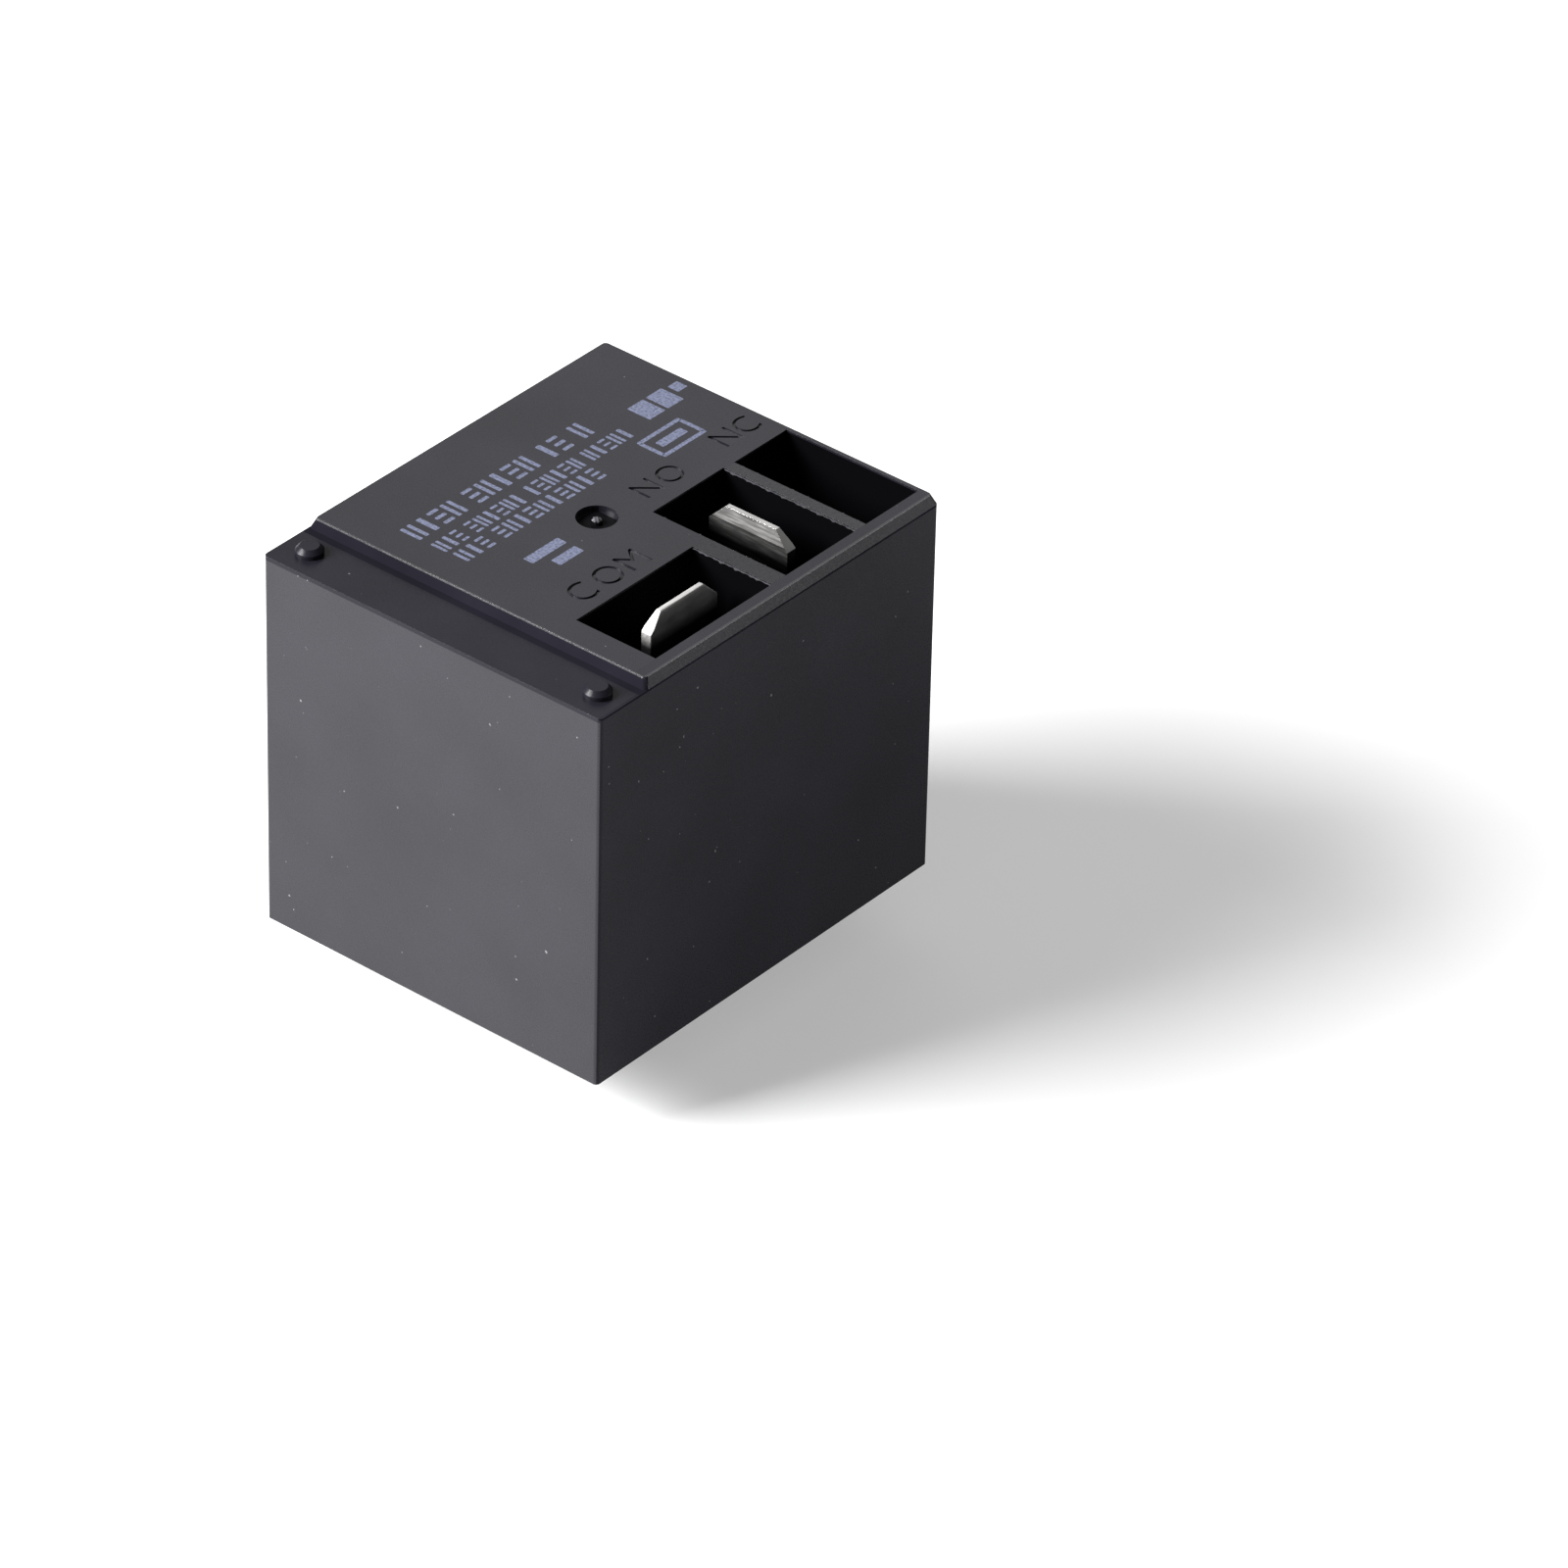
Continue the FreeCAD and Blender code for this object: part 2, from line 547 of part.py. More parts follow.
def make_potting_seal():
    """Sealing resin poured over the base plate, drawn up at the case walls and at the pins."""
    body = corner_body("potting_seal")
    rise = f"({potting_face} - meniscus_rise)"
    slab = box_outline(body, "slab", rise, "wall", "case_width - wall", "wall", "case_length - wall")
    pad(body, slab, f"{base_under} - {rise}")
    rim = "(wall + meniscus_lip)"
    flat = "(wall + meniscus_width)"
    rim_line = round_outline(body, "dish_rim", rise, rim, f"case_width - {rim}", rim, f"case_length - {rim}",
                             "meniscus_width")
    flat_line = round_outline(body, "dish_flat", potting_face, flat, f"case_width - {flat}", flat,
                              f"case_length - {flat}", "meniscus_width")
    loft(body, "Subtractive", rim_line, flat_line)
    coil_left = f"({coil_along} - coil_pin_pitch / 2)"
    coil_right = f"({coil_along} + coil_pin_pitch / 2)"
    make_middle = f"({make_front} + stock / 2)"
    pins = {
        "coil_left": (coil_left, coil_pin_back, "coil_pin_root"),
        "coil_right": (coil_right, coil_pin_back, "coil_pin_root"),
        "com": ("com_pin_inset", com_pin_back, "(com_pin_side * sqrt(0.5))"),
        "make": (make_pin_along, make_middle, "(make_pin_width / 2)"),
    }
    for name, (along, back, radius) in pins.items():
        tip = circle_outline(body, f"{name}_cone_tip", f"{potting_face} - pin_cone_rise", along, back,
                             f"{radius} + pin_cone_lip")
        foot = circle_outline(body, f"{name}_cone_foot", potting_face, along, back, f"{radius} + pin_cone")
        loft(body, "Additive", tip, foot)
    depth = f"{base_under} - {rise}"
    for name, along in (("left", coil_left), ("right", coil_right)):
        hole = circle_outline(body, f"coil_{name}_hole", rise, along, coil_pin_back,
                              "coil_pin_root + pin_play")
        cut(body, hole, depth)
    com_half = "(com_pin_side / 2 + pin_play)"
    com_hole = box_outline(body, "com_hole", rise, f"com_pin_inset - {com_half}",
                           f"com_pin_inset + {com_half}", f"{com_pin_back} - {com_half}",
                           f"{com_pin_back} + {com_half}")
    cut(body, com_hole, depth)
    make_half = "(make_pin_width / 2 + pin_play)"
    make_hole = box_outline(body, "make_hole", rise, f"{make_pin_along} - {make_half}",
                            f"{make_pin_along} + {make_half}", f"{make_front} - pin_play",
                            f"{make_front} + stock + pin_play")
    cut(body, make_hole, depth)
    vent = circle_outline(body, "vent", rise, "vent_along", "vent_back", "vent_radius")
    cut(body, vent, depth)


def make_coil_pins():
    """Two round pins pressed into the bobbin, through its collars and the base plate."""
    for side, sign in (("left", "-"), ("right", "+")):
        body = standing_body(f"coil_pin_{side}", f"{coil_along} {sign} coil_pin_pitch / 2", coil_pin_back)
        top = f"({winding_low} + coil_pin_post)"
        neck = "(pin_reach + coil_pin_neck)"
        turned(body, [
            ("0", "0"), ("coil_pin_radius - pin_tip", "0"), ("coil_pin_radius", "pin_tip"),
            ("coil_pin_radius", neck), ("coil_pin_root", neck), ("coil_pin_root", top), ("0", top),
        ])


def make_com_pin():
    """Square pin of the common terminal, welded to the folded strip above the base plate."""
    body = corner_body("com_pin")
    half = "(com_pin_side / 2)"
    section = box_outline(body, "section", "0", f"com_pin_inset - {half}", f"com_pin_inset + {half}",
                          f"{com_pin_back} - {half}", f"{com_pin_back} + {half}")
    shaft = pad(body, section, f"{boss_top} + strip_height / 2")
    chamfer(body, shaft, lambda edge: at_level(edge, 0), "pin_tip")


def bevel_tab(body, plane, near_face, start):
    """The lead-in down both faces of a push-on tab's tip, cut along the tab's width."""
    far_face = f"({near_face} + stock)"
    for side, face, lean in (("near", near_face, "+"), ("far", far_face, "-")):
        wedge = outline(body, f"lead_in_{side}", plane, start, [
            (face, f"{tab_tip} - tab_bevel_length"), (f"{face} {lean} tab_bevel", tab_tip), (face, tab_tip),
        ])
        cut(body, wedge, "tab_width")


def tab_points(middle, foot):
    """The outline of a push-on tab above its foot, as its width runs across and its height up."""
    return [
        (f"{middle} - tab_width / 2", foot),
        (f"{middle} + tab_width / 2", foot),
        (f"{middle} + tab_width / 2", f"{tab_tip} - tab_corner"),
        (f"{middle} + tab_width / 2 - tab_corner", tab_tip),
        (f"{middle} - tab_width / 2 + tab_corner", tab_tip),
        (f"{middle} - tab_width / 2", f"{tab_tip} - tab_corner"),
    ]


def make_com_terminal():
    """Folded brass strip from the common pin, behind the coil and up to the push-on tab."""
    body = corner_body("com_terminal")
    left = "(com_pin_inset - com_pin_side / 2 - stock / 2)"
    right = f"({arm_left} + stock)"
    front = f"({com_tab_back} - tab_width / 2)"
    plan = outline(body, "fold", "XY", boss_top, [
        (left, strip_front), (arm_left, strip_front), (arm_left, front),
        (right, front), (right, strip_rear), (left, strip_rear),
    ])
    strip = pad(body, plan, "strip_height")
    corner_out = (value(right), value(strip_rear))
    corner_in = (value(arm_left), value(strip_front))

    def is_corner(edge, corner):
        box = edge.BoundBox
        return upright(edge) and near(box.XMin, corner[0]) and near(box.YMin, corner[1])

    outer = fillet(body, strip, lambda edge: is_corner(edge, corner_out), "stock + strip_bend")
    fillet(body, outer, lambda edge: is_corner(edge, corner_in), "strip_bend")
    riser_foot = f"({boss_top} + strip_height / 2)"
    riser = outline(body, "riser", "YZ", arm_left, tab_points(com_tab_back, riser_foot))
    pad(body, riser, "stock")
    bevel_tab(body, "XZ", arm_left, front)


def make_make_terminal():
    """Blanked and folded brass strip: board pin, push-on tab, and the shelf of the fixed contact."""
    body = corner_body("make_terminal")
    strip_left = f"({make_tab_along} - tab_width / 2)"
    strip_right = f"({make_tab_along} + tab_width / 2)"
    pin_left = f"({make_pin_along} - make_pin_width / 2)"
    pin_right = f"({make_pin_along} + make_pin_width / 2)"
    shelf_left = f"({coil_along} - shelf_width / 2)"
    arm_low = f"({shelf_top} - arm_height)"
    blank = outline(body, "blank", "XZ", make_front, [
        (f"{pin_left} + pin_tip", "0"), (f"{pin_right} - pin_tip", "0"), (pin_right, "pin_tip"),
        (pin_right, boss_top), (strip_right, boss_top),
        (strip_right, f"{tab_tip} - tab_corner"), (f"{strip_right} - tab_corner", tab_tip),
        (f"{strip_left} + tab_corner", tab_tip), (strip_left, f"{tab_tip} - tab_corner"),
        (strip_left, shelf_top), (shelf_left, shelf_top), (shelf_left, arm_low), (strip_left, arm_low),
        (strip_left, boss_top), (pin_left, boss_top), (pin_left, "pin_tip"),
    ])
    pad(body, blank, "stock")
    shelf = box_outline(body, "shelf", f"{shelf_top} - stock", shelf_left, f"{coil_along} + shelf_width / 2",
                        make_front, f"{contact_back} + fixed_contact_radius + stock / 2")
    bent = pad(body, shelf, "stock")
    fold_level = value(shelf_top)
    fold_back = value(make_front)

    def is_fold(edge):
        box = edge.BoundBox
        low_front = near(box.YMin, fold_back) and near(box.YMax, fold_back)
        return at_level(edge, fold_level) and low_front and box.XLength > 1

    fillet(body, bent, is_fold, "strip_bend")
    bevel_tab(body, "YZ", make_front, strip_left)
    seat = circle_outline(body, "contact_seat", f"{shelf_top} - stock", coil_along, contact_back,
                          "contact_shank + pin_play")
    cut(body, seat, "stock")


def make_fixed_contact():
    """Silver alloy rivet staked in the make terminal's shelf."""
    body = standing_body("fixed_contact", coil_along, contact_back)
    under = f"({shelf_top} - stock)"
    tail = "(contact_shank + contact_spread)"
    turned(body, [
        ("0", f"{under} - contact_tail"), (f"{tail} - contact_tail / 2", f"{under} - contact_tail"),
        (tail, under), ("contact_shank", under), ("contact_shank", shelf_top),
        ("fixed_contact_radius", shelf_top),
        ("fixed_contact_radius", f"{fixed_face} - contact_dome"),
        ("fixed_contact_radius - contact_crown", fixed_face), ("0", fixed_face),
    ])


def make_yoke():
    """Bent iron yoke: foot under the bobbin, upright with the hinge edge, and the spring's finger."""
    body = corner_body("yoke")
    left = f"({coil_along} - yoke_width / 2)"
    right = f"({coil_along} + yoke_width / 2)"
    foot_rear = f"({flange_rear} - armature_setback)"
    foot_front = f"({hinge_back} + yoke_thickness)"
    profile = outline(body, "profile", "YZ", left, [
        (hinge_back, base_top), (foot_rear, base_top), (foot_rear, foot_top), (foot_front, foot_top),
        (foot_front, hinge_level), (hinge_back, hinge_level),
    ])
    bent = pad(body, profile, "yoke_width")
    back, low = value(hinge_back), value(base_top)

    def is_bend(edge):
        box = edge.BoundBox
        return near(box.YMin, back) and near(box.YMax, back) and at_level(edge, low)

    fillet(body, bent, is_bend, "yoke_bend")
    for side, start in (("left", left), ("right", f"{right} - lug_width")):
        lug = box_outline(body, f"lug_{side}", hinge_level, start, f"{start} + lug_width",
                          hinge_back, foot_front)
        pad(body, lug, "lug_height")
    finger = box_outline(body, "finger", f"{base_top} + finger_level", f"{coil_along} - finger_width / 2",
                         f"{coil_along} + finger_width / 2", f"{hinge_back} - finger_reach", foot_front)
    pad(body, finger, "finger_thickness")
    tenon = circle_outline(body, "tenon_hole", base_top, coil_along, coil_back, "tenon_radius + pin_play")
    cut(body, tenon, "yoke_thickness")
    for side, sign in (("left", "-"), ("right", "+")):
        along = f"{coil_along} {sign} coil_pin_pitch / 2"
        hole = circle_outline(body, f"collar_hole_{side}", base_top, along, coil_pin_back,
                              "collar_radius + bobbin_play")
        cut(body, hole, "yoke_thickness")


def make_core():
    """Turned iron core, its tenon staked in the yoke's foot and its pole head under the armature."""
    body = standing_body("core", coil_along, coil_back)
    turned(body, [
        ("0", base_top), ("tenon_radius", base_top), ("tenon_radius", foot_top), ("core_radius", foot_top),
        ("core_radius", f"{hinge_level} - pole_thickness"),
        ("pole_radius", f"{hinge_level} - pole_thickness"), ("pole_radius", hinge_level), ("0", hinge_level),
    ])


def make_bobbin():
    """Moulded coil former with two flanges, and a collar around each coil pin."""
    body = corner_body("bobbin")
    left = f"({coil_along} - {flange_half})"
    right = f"({coil_along} + {flange_half})"
    flange = [
        (f"{left} + flange_corner", flange_front), (f"{right} - flange_corner", flange_front),
        (right, f"{flange_front} + flange_corner"), (right, f"{flange_rear} - flange_corner"),
        (f"{right} - flange_corner", flange_rear), (f"{left} + flange_corner", flange_rear),
        (left, f"{flange_rear} - flange_corner"), (left, f"{flange_front} + flange_corner"),
    ]
    low = outline(body, "low_flange", "XY", foot_top, flange)
    pad(body, low, "low_flange")
    tube = circle_outline(body, "tube", foot_top, coil_along, coil_back, f"{bobbin_bore} + bobbin_wall")
    pad(body, tube, f"{winding_high} - {foot_top}")
    high = outline(body, "high_flange", "XY", winding_high, flange)
    pad(body, high, "high_flange")
    for side, sign in (("left", "-"), ("right", "+")):
        along = f"{coil_along} {sign} coil_pin_pitch / 2"
        collar = circle_outline(body, f"collar_{side}", base_top, along, coil_pin_back, "collar_radius")
        pad(body, collar, f"{foot_top} - {base_top} + low_flange / 2")
        hole = circle_outline(body, f"pin_hole_{side}", base_top, along, coil_pin_back,
                              "coil_pin_root + pin_play")
        cut(body, hole, "yoke_thickness + low_flange")
        window = circle_outline(body, f"window_{side}", winding_high, along, coil_pin_back, "window_radius")
        cut(body, window, "high_flange")
    bore = circle_outline(body, "bore", foot_top, coil_along, coil_back, bobbin_bore)
    cut(body, bore, f"{winding_high} + high_flange - {foot_top}")


def make_winding():
    """Enamelled copper winding between the bobbin's flanges."""
    body = standing_body("coil_winding", coil_along, coil_back)
    inner = f"({bobbin_bore} + bobbin_wall)"
    turned(body, [(inner, winding_low), (winding_radius, winding_low), (winding_radius, winding_high),
                  (inner, winding_high)])


def make_tape():
    """Polyester tape around the winding."""
    body = standing_body("coil_tape", coil_along, coil_back)
    low = f"({winding_low} + 1.5 * wire)"
    high = f"({winding_high} - 0.5 * wire)"
    outer = f"({winding_radius} + tape)"
    turned(body, [(winding_radius, low), (outer, low), (outer, high), (winding_radius, high)])


def make_barrier():
    """Insulating sheet between the coil and the contact strips, folded round the coil's right side."""
    body = corner_body("insulation_barrier")
    left = f"({coil_along} - {flange_half} + barrier_play)"
    right = f"({arm_left} - stock)"
    front = f"({flange_front} + {flange_half} / 2)"
    rear = f"({barrier_front} + barrier)"
    plan = outline(body, "fold", "XY", base_top, [
        (left, barrier_front), (f"{right} - barrier", barrier_front), (f"{right} - barrier", front),
        (right, front), (right, rear), (left, rear),
    ])
    pad(body, plan, f"{winding_high} - {base_top}")


def make_armature():
    """Stamped iron armature: located between the yoke's lugs, with the spring's finger at its heel."""
    body = hinge_body("armature")
    neck = "(yoke_width / 2 - lug_width - lug_play)"
    half = "(yoke_width / 2)"
    neck_end = "(yoke_thickness + lug_play)"
    cut_corner = "armature_thickness"
    plan = outline(body, "plan", "XY", "residual_gap", [
        (f"-1 * {neck}", "0"), (neck, "0"), (neck, neck_end), (half, neck_end),
        (half, f"{armature_reach} - {cut_corner}"), (f"{half} - {cut_corner}", armature_reach),
        (f"{cut_corner} - {half}", armature_reach), (f"-1 * {half}", f"{armature_reach} - {cut_corner}"),
        (f"-1 * {half}", neck_end), (f"-1 * {neck}", neck_end),
    ])
    pad(body, plan, "armature_thickness")
    finger = outline(body, "finger", "XY", "residual_gap", [
        ("-1 * finger_width / 2", "-1 * finger_reach"), ("finger_width / 2", "-1 * finger_reach"),
        ("finger_width / 2", "yoke_thickness"), ("-1 * finger_width / 2", "yoke_thickness"),
    ])
    pad(body, finger, "finger_thickness")
    for name, back in (("front", "rivet_front"), ("rear", "rivet_front + rivet_pitch")):
        hole = circle_outline(body, f"rivet_hole_{name}", "residual_gap", "0", back,
                              "rivet_radius + pin_play")
        cut(body, hole, "armature_thickness")


def make_leaf():
    """Copper alloy leaf on the armature that carries the moving contact."""
    body = hinge_body("contact_leaf")
    half = "(leaf_width / 2)"
    plan = outline(body, "plan", "XY", armature_top, [
        (f"-1 * {half}", "leaf_front"), (half, "leaf_front"), (half, f"{leaf_reach} - leaf_tip_cut"),
        (f"{half} - leaf_tip_cut", leaf_reach), (f"leaf_tip_cut - {half}", leaf_reach),
        (f"-1 * {half}", f"{leaf_reach} - leaf_tip_cut"),
    ])
    pad(body, plan, "leaf")
    holes = {
        "front_rivet": ("rivet_front", "rivet_radius + pin_play"),
        "rear_rivet": ("rivet_front + rivet_pitch", "rivet_radius + pin_play"),
        "contact": (contact_reach, "contact_shank + pin_play"),
    }
    for name, (back, radius) in holes.items():
        hole = circle_outline(body, f"{name}_hole", armature_top, "0", back, radius)
        cut(body, hole, "leaf")


def make_moving_contact():
    """Silver alloy rivet staked in the leaf, facing down to the fixed contact."""
    body = hinge_body("moving_contact")
    face = f"({armature_top} - contact_height)"
    rim = circle_outline(body, "face", face, "0", contact_reach, "contact_radius - contact_crown")
    dome = circle_outline(body, "dome", f"{face} + contact_dome", "0", contact_reach, "contact_radius")
    loft(body, "Additive", rim, dome)
    head = circle_outline(body, "head", f"{face} + contact_dome", "0", contact_reach, "contact_radius")
    pad(body, head, "contact_height - contact_dome")
    shank = circle_outline(body, "shank", armature_top, "0", contact_reach, "contact_shank")
    pad(body, shank, "leaf")
    tail = circle_outline(body, "tail", leaf_top, "0", contact_reach, "contact_shank + contact_spread")
    pad(body, tail, "contact_tail")


def make_leaf_rivets():
    """Two rivets, flush below the armature, that stake the leaf to it."""
    rivets = []
    for name, back in (("front", "rivet_front"), ("rear", "rivet_front + rivet_pitch")):
        shank = doc.addObject("Part::Cylinder", f"rivet_shank_{name}")
        bind(shank, "Radius", "rivet_radius")
        bind(shank, "Height", "armature_thickness + leaf")
        bind(shank, "Placement.Base.y", back)
        bind(shank, "Placement.Base.z", "residual_gap")
        head = doc.addObject("Part::Cone", f"rivet_head_{name}")
        bind(head, "Radius1", "rivet_head")
        bind(head, "Radius2", "rivet_radius")
        bind(head, "Height", "rivet_head_height")
        bind(head, "Placement.Base.y", back)
        bind(head, "Placement.Base.z", leaf_top)
        rivet = doc.addObject("Part::Fuse", f"rivet_{name}")
        rivet.Base = shank
        rivet.Tool = head
        rivets.append(rivet)
    group = doc.addObject("Part::Compound", "leaf_rivets")
    group.Label = "leaf_rivets"
    group.Links = rivets
    on_hinge(group)
    SUB_PARTS.append(group)


def ring_nodes(centre, across, up, start, sweep, rise=FreeCAD.Vector()):
    """A wire's nodes round a centre, twelve to the turn, from a start angle, rising on the way."""
    steps = round(abs(sweep) / 30)
    nodes = []
    for number in range(steps + 1):
        turn = math.radians(start + sweep * number / steps)
        nodes.append(centre + across * math.cos(turn) + up * math.sin(turn) + rise * (number / steps))
    return nodes


def bent_wire(nodes, radius, sides, normal):
    """A wire with flat sides, bent at its nodes."""
    steps = [end - start for start, end in zip(nodes, nodes[1:])]
    sections = []
    for number, node in enumerate(nodes):
        behind = steps[max(number - 1, 0)]
        ahead = steps[min(number, len(steps) - 1)]
        along = (behind / behind.Length + ahead / ahead.Length).normalize()
        normal = (normal - along * normal.dot(along)).normalize()
        across = along.cross(normal)
        corners = ring_nodes(node, normal * radius, across * radius, 0, 360)[:: 12 // sides]
        sections.append(Part.makePolygon(corners))
    return Part.makeLoft(sections, True, True)


def add_wire(label, nodes, radius, sides, normal, along, back):
    """Adds a bent wire to the model, its nodes counted from a place in the case."""
    piece = doc.addObject("Part::Feature", label)
    piece.Label = label
    piece.Shape = bent_wire(nodes, radius, sides, normal)
    piece.Placement.Base = FreeCAD.Vector(value(f"{along} - case_width / 2"),
                                          value(f"{back} - case_length / 2"), 0)
    SUB_PARTS.append(piece)


def make_spring():
    """Tension spring behind the yoke, hooked on the yoke's finger and the armature's heel."""
    mean, wire = value("spring_coil"), value("spring_wire") / 2
    play = 4 * value("pin_play")
    grip = math.sqrt((mean - wire) ** 2 - (value("finger_width") / 2) ** 2) - play
    low_hook = value(f"{base_top} + finger_level") + grip
    heel = value(f"{hinge_level} + residual_gap + ({spring_back} - {hinge_back}) * sin(armature_swing)")
    high_hook = heel + value("finger_thickness") - grip
    across, back, up = FreeCAD.Vector(mean, 0, 0), FreeCAD.Vector(0, mean, 0), FreeCAD.Vector(0, 0, mean)
    low_centre, high_centre = FreeCAD.Vector(0, 0, low_hook), FreeCAD.Vector(0, 0, high_hook)
    coils = high_centre - low_centre - 2 * up
    nodes = ring_nodes(low_centre, across, up, 90, 270)
    nodes += ring_nodes(low_centre + up, across, back, 0, 360 * value("spring_turns"), coils)
    nodes += ring_nodes(high_centre, across, up, 0, 270)
    add_wire("return_spring", nodes, wire, 6, back, coil_along, spring_back)


def make_braid():
    """Flexible copper braid: welded to the common strip, looped over and welded to the leaf."""
    radius = value("braid_radius")
    bend = value("braid_bend")
    foot = value(f"{boss_top} + strip_height - braid_lap")
    braid_back = f"({strip_rear} + braid_radius + pin_play)"
    rear_reach = value(f"({braid_back} + braid_radius - {hinge_back}) / cos(armature_swing)")
    swing = math.radians(value("armature_swing"))
    landing = value(hinge_level) + rear_reach * math.sin(swing) + value(leaf_top) * math.cos(swing)
    landing += value("pin_play")
    crown = max(landing, value(f"{boss_top} + strip_height")) + radius
    across, up = FreeCAD.Vector(bend, 0, 0), FreeCAD.Vector(0, 0, bend)
    nodes = [FreeCAD.Vector(-bend, 0, foot)]
    nodes += ring_nodes(FreeCAD.Vector(0, 0, crown), across, up, 180, -180)
    nodes.append(FreeCAD.Vector(bend, 0, landing))
    add_wire("copper_braid", nodes, radius, 12, across, "(braid_inset + braid_bend)", braid_back)


def make_coil_leads():
    """The winding's two ends, laid out on the lower flange and wrapped round the coil pins."""
    wire = value("wire") / 2
    wrap = value("coil_pin_root + 3 * pin_play + wire / 2")
    level = value(f"{winding_low} + pin_play + wire / 2")
    wraps = value("lead_wraps")
    rise = FreeCAD.Vector(0, 0, wraps * value("wire + pin_play"))
    for side, sign in (("left", -1), ("right", 1)):
        pin = FreeCAD.Vector(sign * value("coil_pin_pitch") / 2, value(f"{coil_pin_back} - {coil_back}"), 0)
        inwards = pin / -pin.Length
        start = inwards * -value(f"{winding_radius} + pin_play")
        raised = FreeCAD.Vector(0, 0, level)
        sideways = FreeCAD.Vector(-inwards.y, inwards.x, 0)
        nodes = [start + raised]
        nodes += ring_nodes(pin + raised, inwards * wrap, sideways * wrap, 0, 360 * wraps, rise)
        add_wire(f"coil_lead_{side}", nodes, wire, 6, FreeCAD.Vector(0, 0, 1), coil_along, coil_back)


def check_model():
    """Stops if a feature failed, or if a sub-part isn't a valid solid."""
    doc.recompute()
    for thing in doc.Objects:
        if "Invalid" in thing.State or "Error" in thing.State:
            raise RuntimeError(f"{thing.Label} failed: {thing.State}")
    for piece in SUB_PARTS:
        if piece.Shape.isNull() or not piece.Shape.isValid() or not piece.Shape.Solids:
            raise RuntimeError(f"{piece.Label} is not a valid solid")


make_potting_seal()
make_base_plate()
make_coil_pins()
make_com_pin()
make_yoke()
make_bobbin()
make_core()
make_winding()
make_tape()
make_coil_leads()
make_barrier()
make_com_terminal()
make_make_terminal()
make_fixed_contact()
make_armature()
make_leaf()
make_moving_contact()
make_leaf_rivets()
make_spring()
make_braid()
make_cover()
check_model()

os.makedirs("parts", exist_ok=True)
for piece in SUB_PARTS:
    piece.Shape.exportStep(f"parts/{piece.Label}.step")
    print(f"{piece.Label}: {len(piece.Shape.Solids)} solid, {piece.Shape.Volume:.2f} mm3")
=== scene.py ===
import json
import math

import bpy
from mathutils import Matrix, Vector

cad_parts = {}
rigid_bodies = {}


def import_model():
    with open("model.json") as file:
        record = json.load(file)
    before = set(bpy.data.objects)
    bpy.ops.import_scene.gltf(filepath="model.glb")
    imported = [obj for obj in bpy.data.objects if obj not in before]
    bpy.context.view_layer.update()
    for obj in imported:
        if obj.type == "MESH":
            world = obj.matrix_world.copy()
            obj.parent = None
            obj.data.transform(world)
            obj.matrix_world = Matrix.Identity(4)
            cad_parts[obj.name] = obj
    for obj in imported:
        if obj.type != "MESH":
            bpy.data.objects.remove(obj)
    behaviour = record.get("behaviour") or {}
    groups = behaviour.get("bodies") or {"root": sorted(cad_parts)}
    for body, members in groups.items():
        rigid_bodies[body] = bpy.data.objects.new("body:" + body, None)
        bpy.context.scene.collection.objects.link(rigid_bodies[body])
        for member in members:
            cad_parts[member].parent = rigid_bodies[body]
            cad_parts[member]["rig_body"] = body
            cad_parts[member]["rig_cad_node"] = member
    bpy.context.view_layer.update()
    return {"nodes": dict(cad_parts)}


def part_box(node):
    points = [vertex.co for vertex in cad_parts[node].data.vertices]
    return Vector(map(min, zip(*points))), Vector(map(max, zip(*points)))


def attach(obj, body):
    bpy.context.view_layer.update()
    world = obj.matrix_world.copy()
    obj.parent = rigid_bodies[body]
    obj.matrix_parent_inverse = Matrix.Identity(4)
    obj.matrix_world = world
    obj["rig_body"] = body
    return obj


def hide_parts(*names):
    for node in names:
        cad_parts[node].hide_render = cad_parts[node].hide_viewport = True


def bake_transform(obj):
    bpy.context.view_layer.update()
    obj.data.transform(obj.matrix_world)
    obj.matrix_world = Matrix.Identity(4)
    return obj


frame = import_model()


# Base plate: moulded black plastic that closes the case from below and carries the whole mechanism.
# It is pushed in against the case's shoulder before the resin is poured, so it isn't seen from outside.
mm = 0.001


def finish_tree(name, colour, roughness, metallic=0.0):
    """A new finish with one colour, and its node tree and shader for the patterns."""
    material = bpy.data.materials.new(name)
    material.use_nodes = True
    tree = material.node_tree
    shader = tree.nodes["Principled BSDF"]
    shader.inputs["Base Color"].default_value = (*colour, 1)
    shader.inputs["Roughness"].default_value = roughness
    shader.inputs["Metallic"].default_value = metallic
    return material, tree, shader


def mapped(tree, stretch=(1, 1, 1)):
    """The piece's own coordinates, stretched along its axes."""
    place = tree.nodes.new("ShaderNodeTexCoord")
    mapping = tree.nodes.new("ShaderNodeMapping")
    mapping.inputs["Scale"].default_value = stretch
    tree.links.new(place.outputs["Object"], mapping.inputs["Vector"])
    return mapping.outputs["Vector"]


def cloud(tree, grain, detail=3.0, stretch=(1, 1, 1)):
    """Noise whose spots are about one grain across."""
    noise = tree.nodes.new("ShaderNodeTexNoise")
    noise.inputs["Scale"].default_value = 1 / grain
    noise.inputs["Detail"].default_value = detail
    tree.links.new(mapped(tree, stretch), noise.inputs["Vector"])
    return noise.outputs["Fac"]


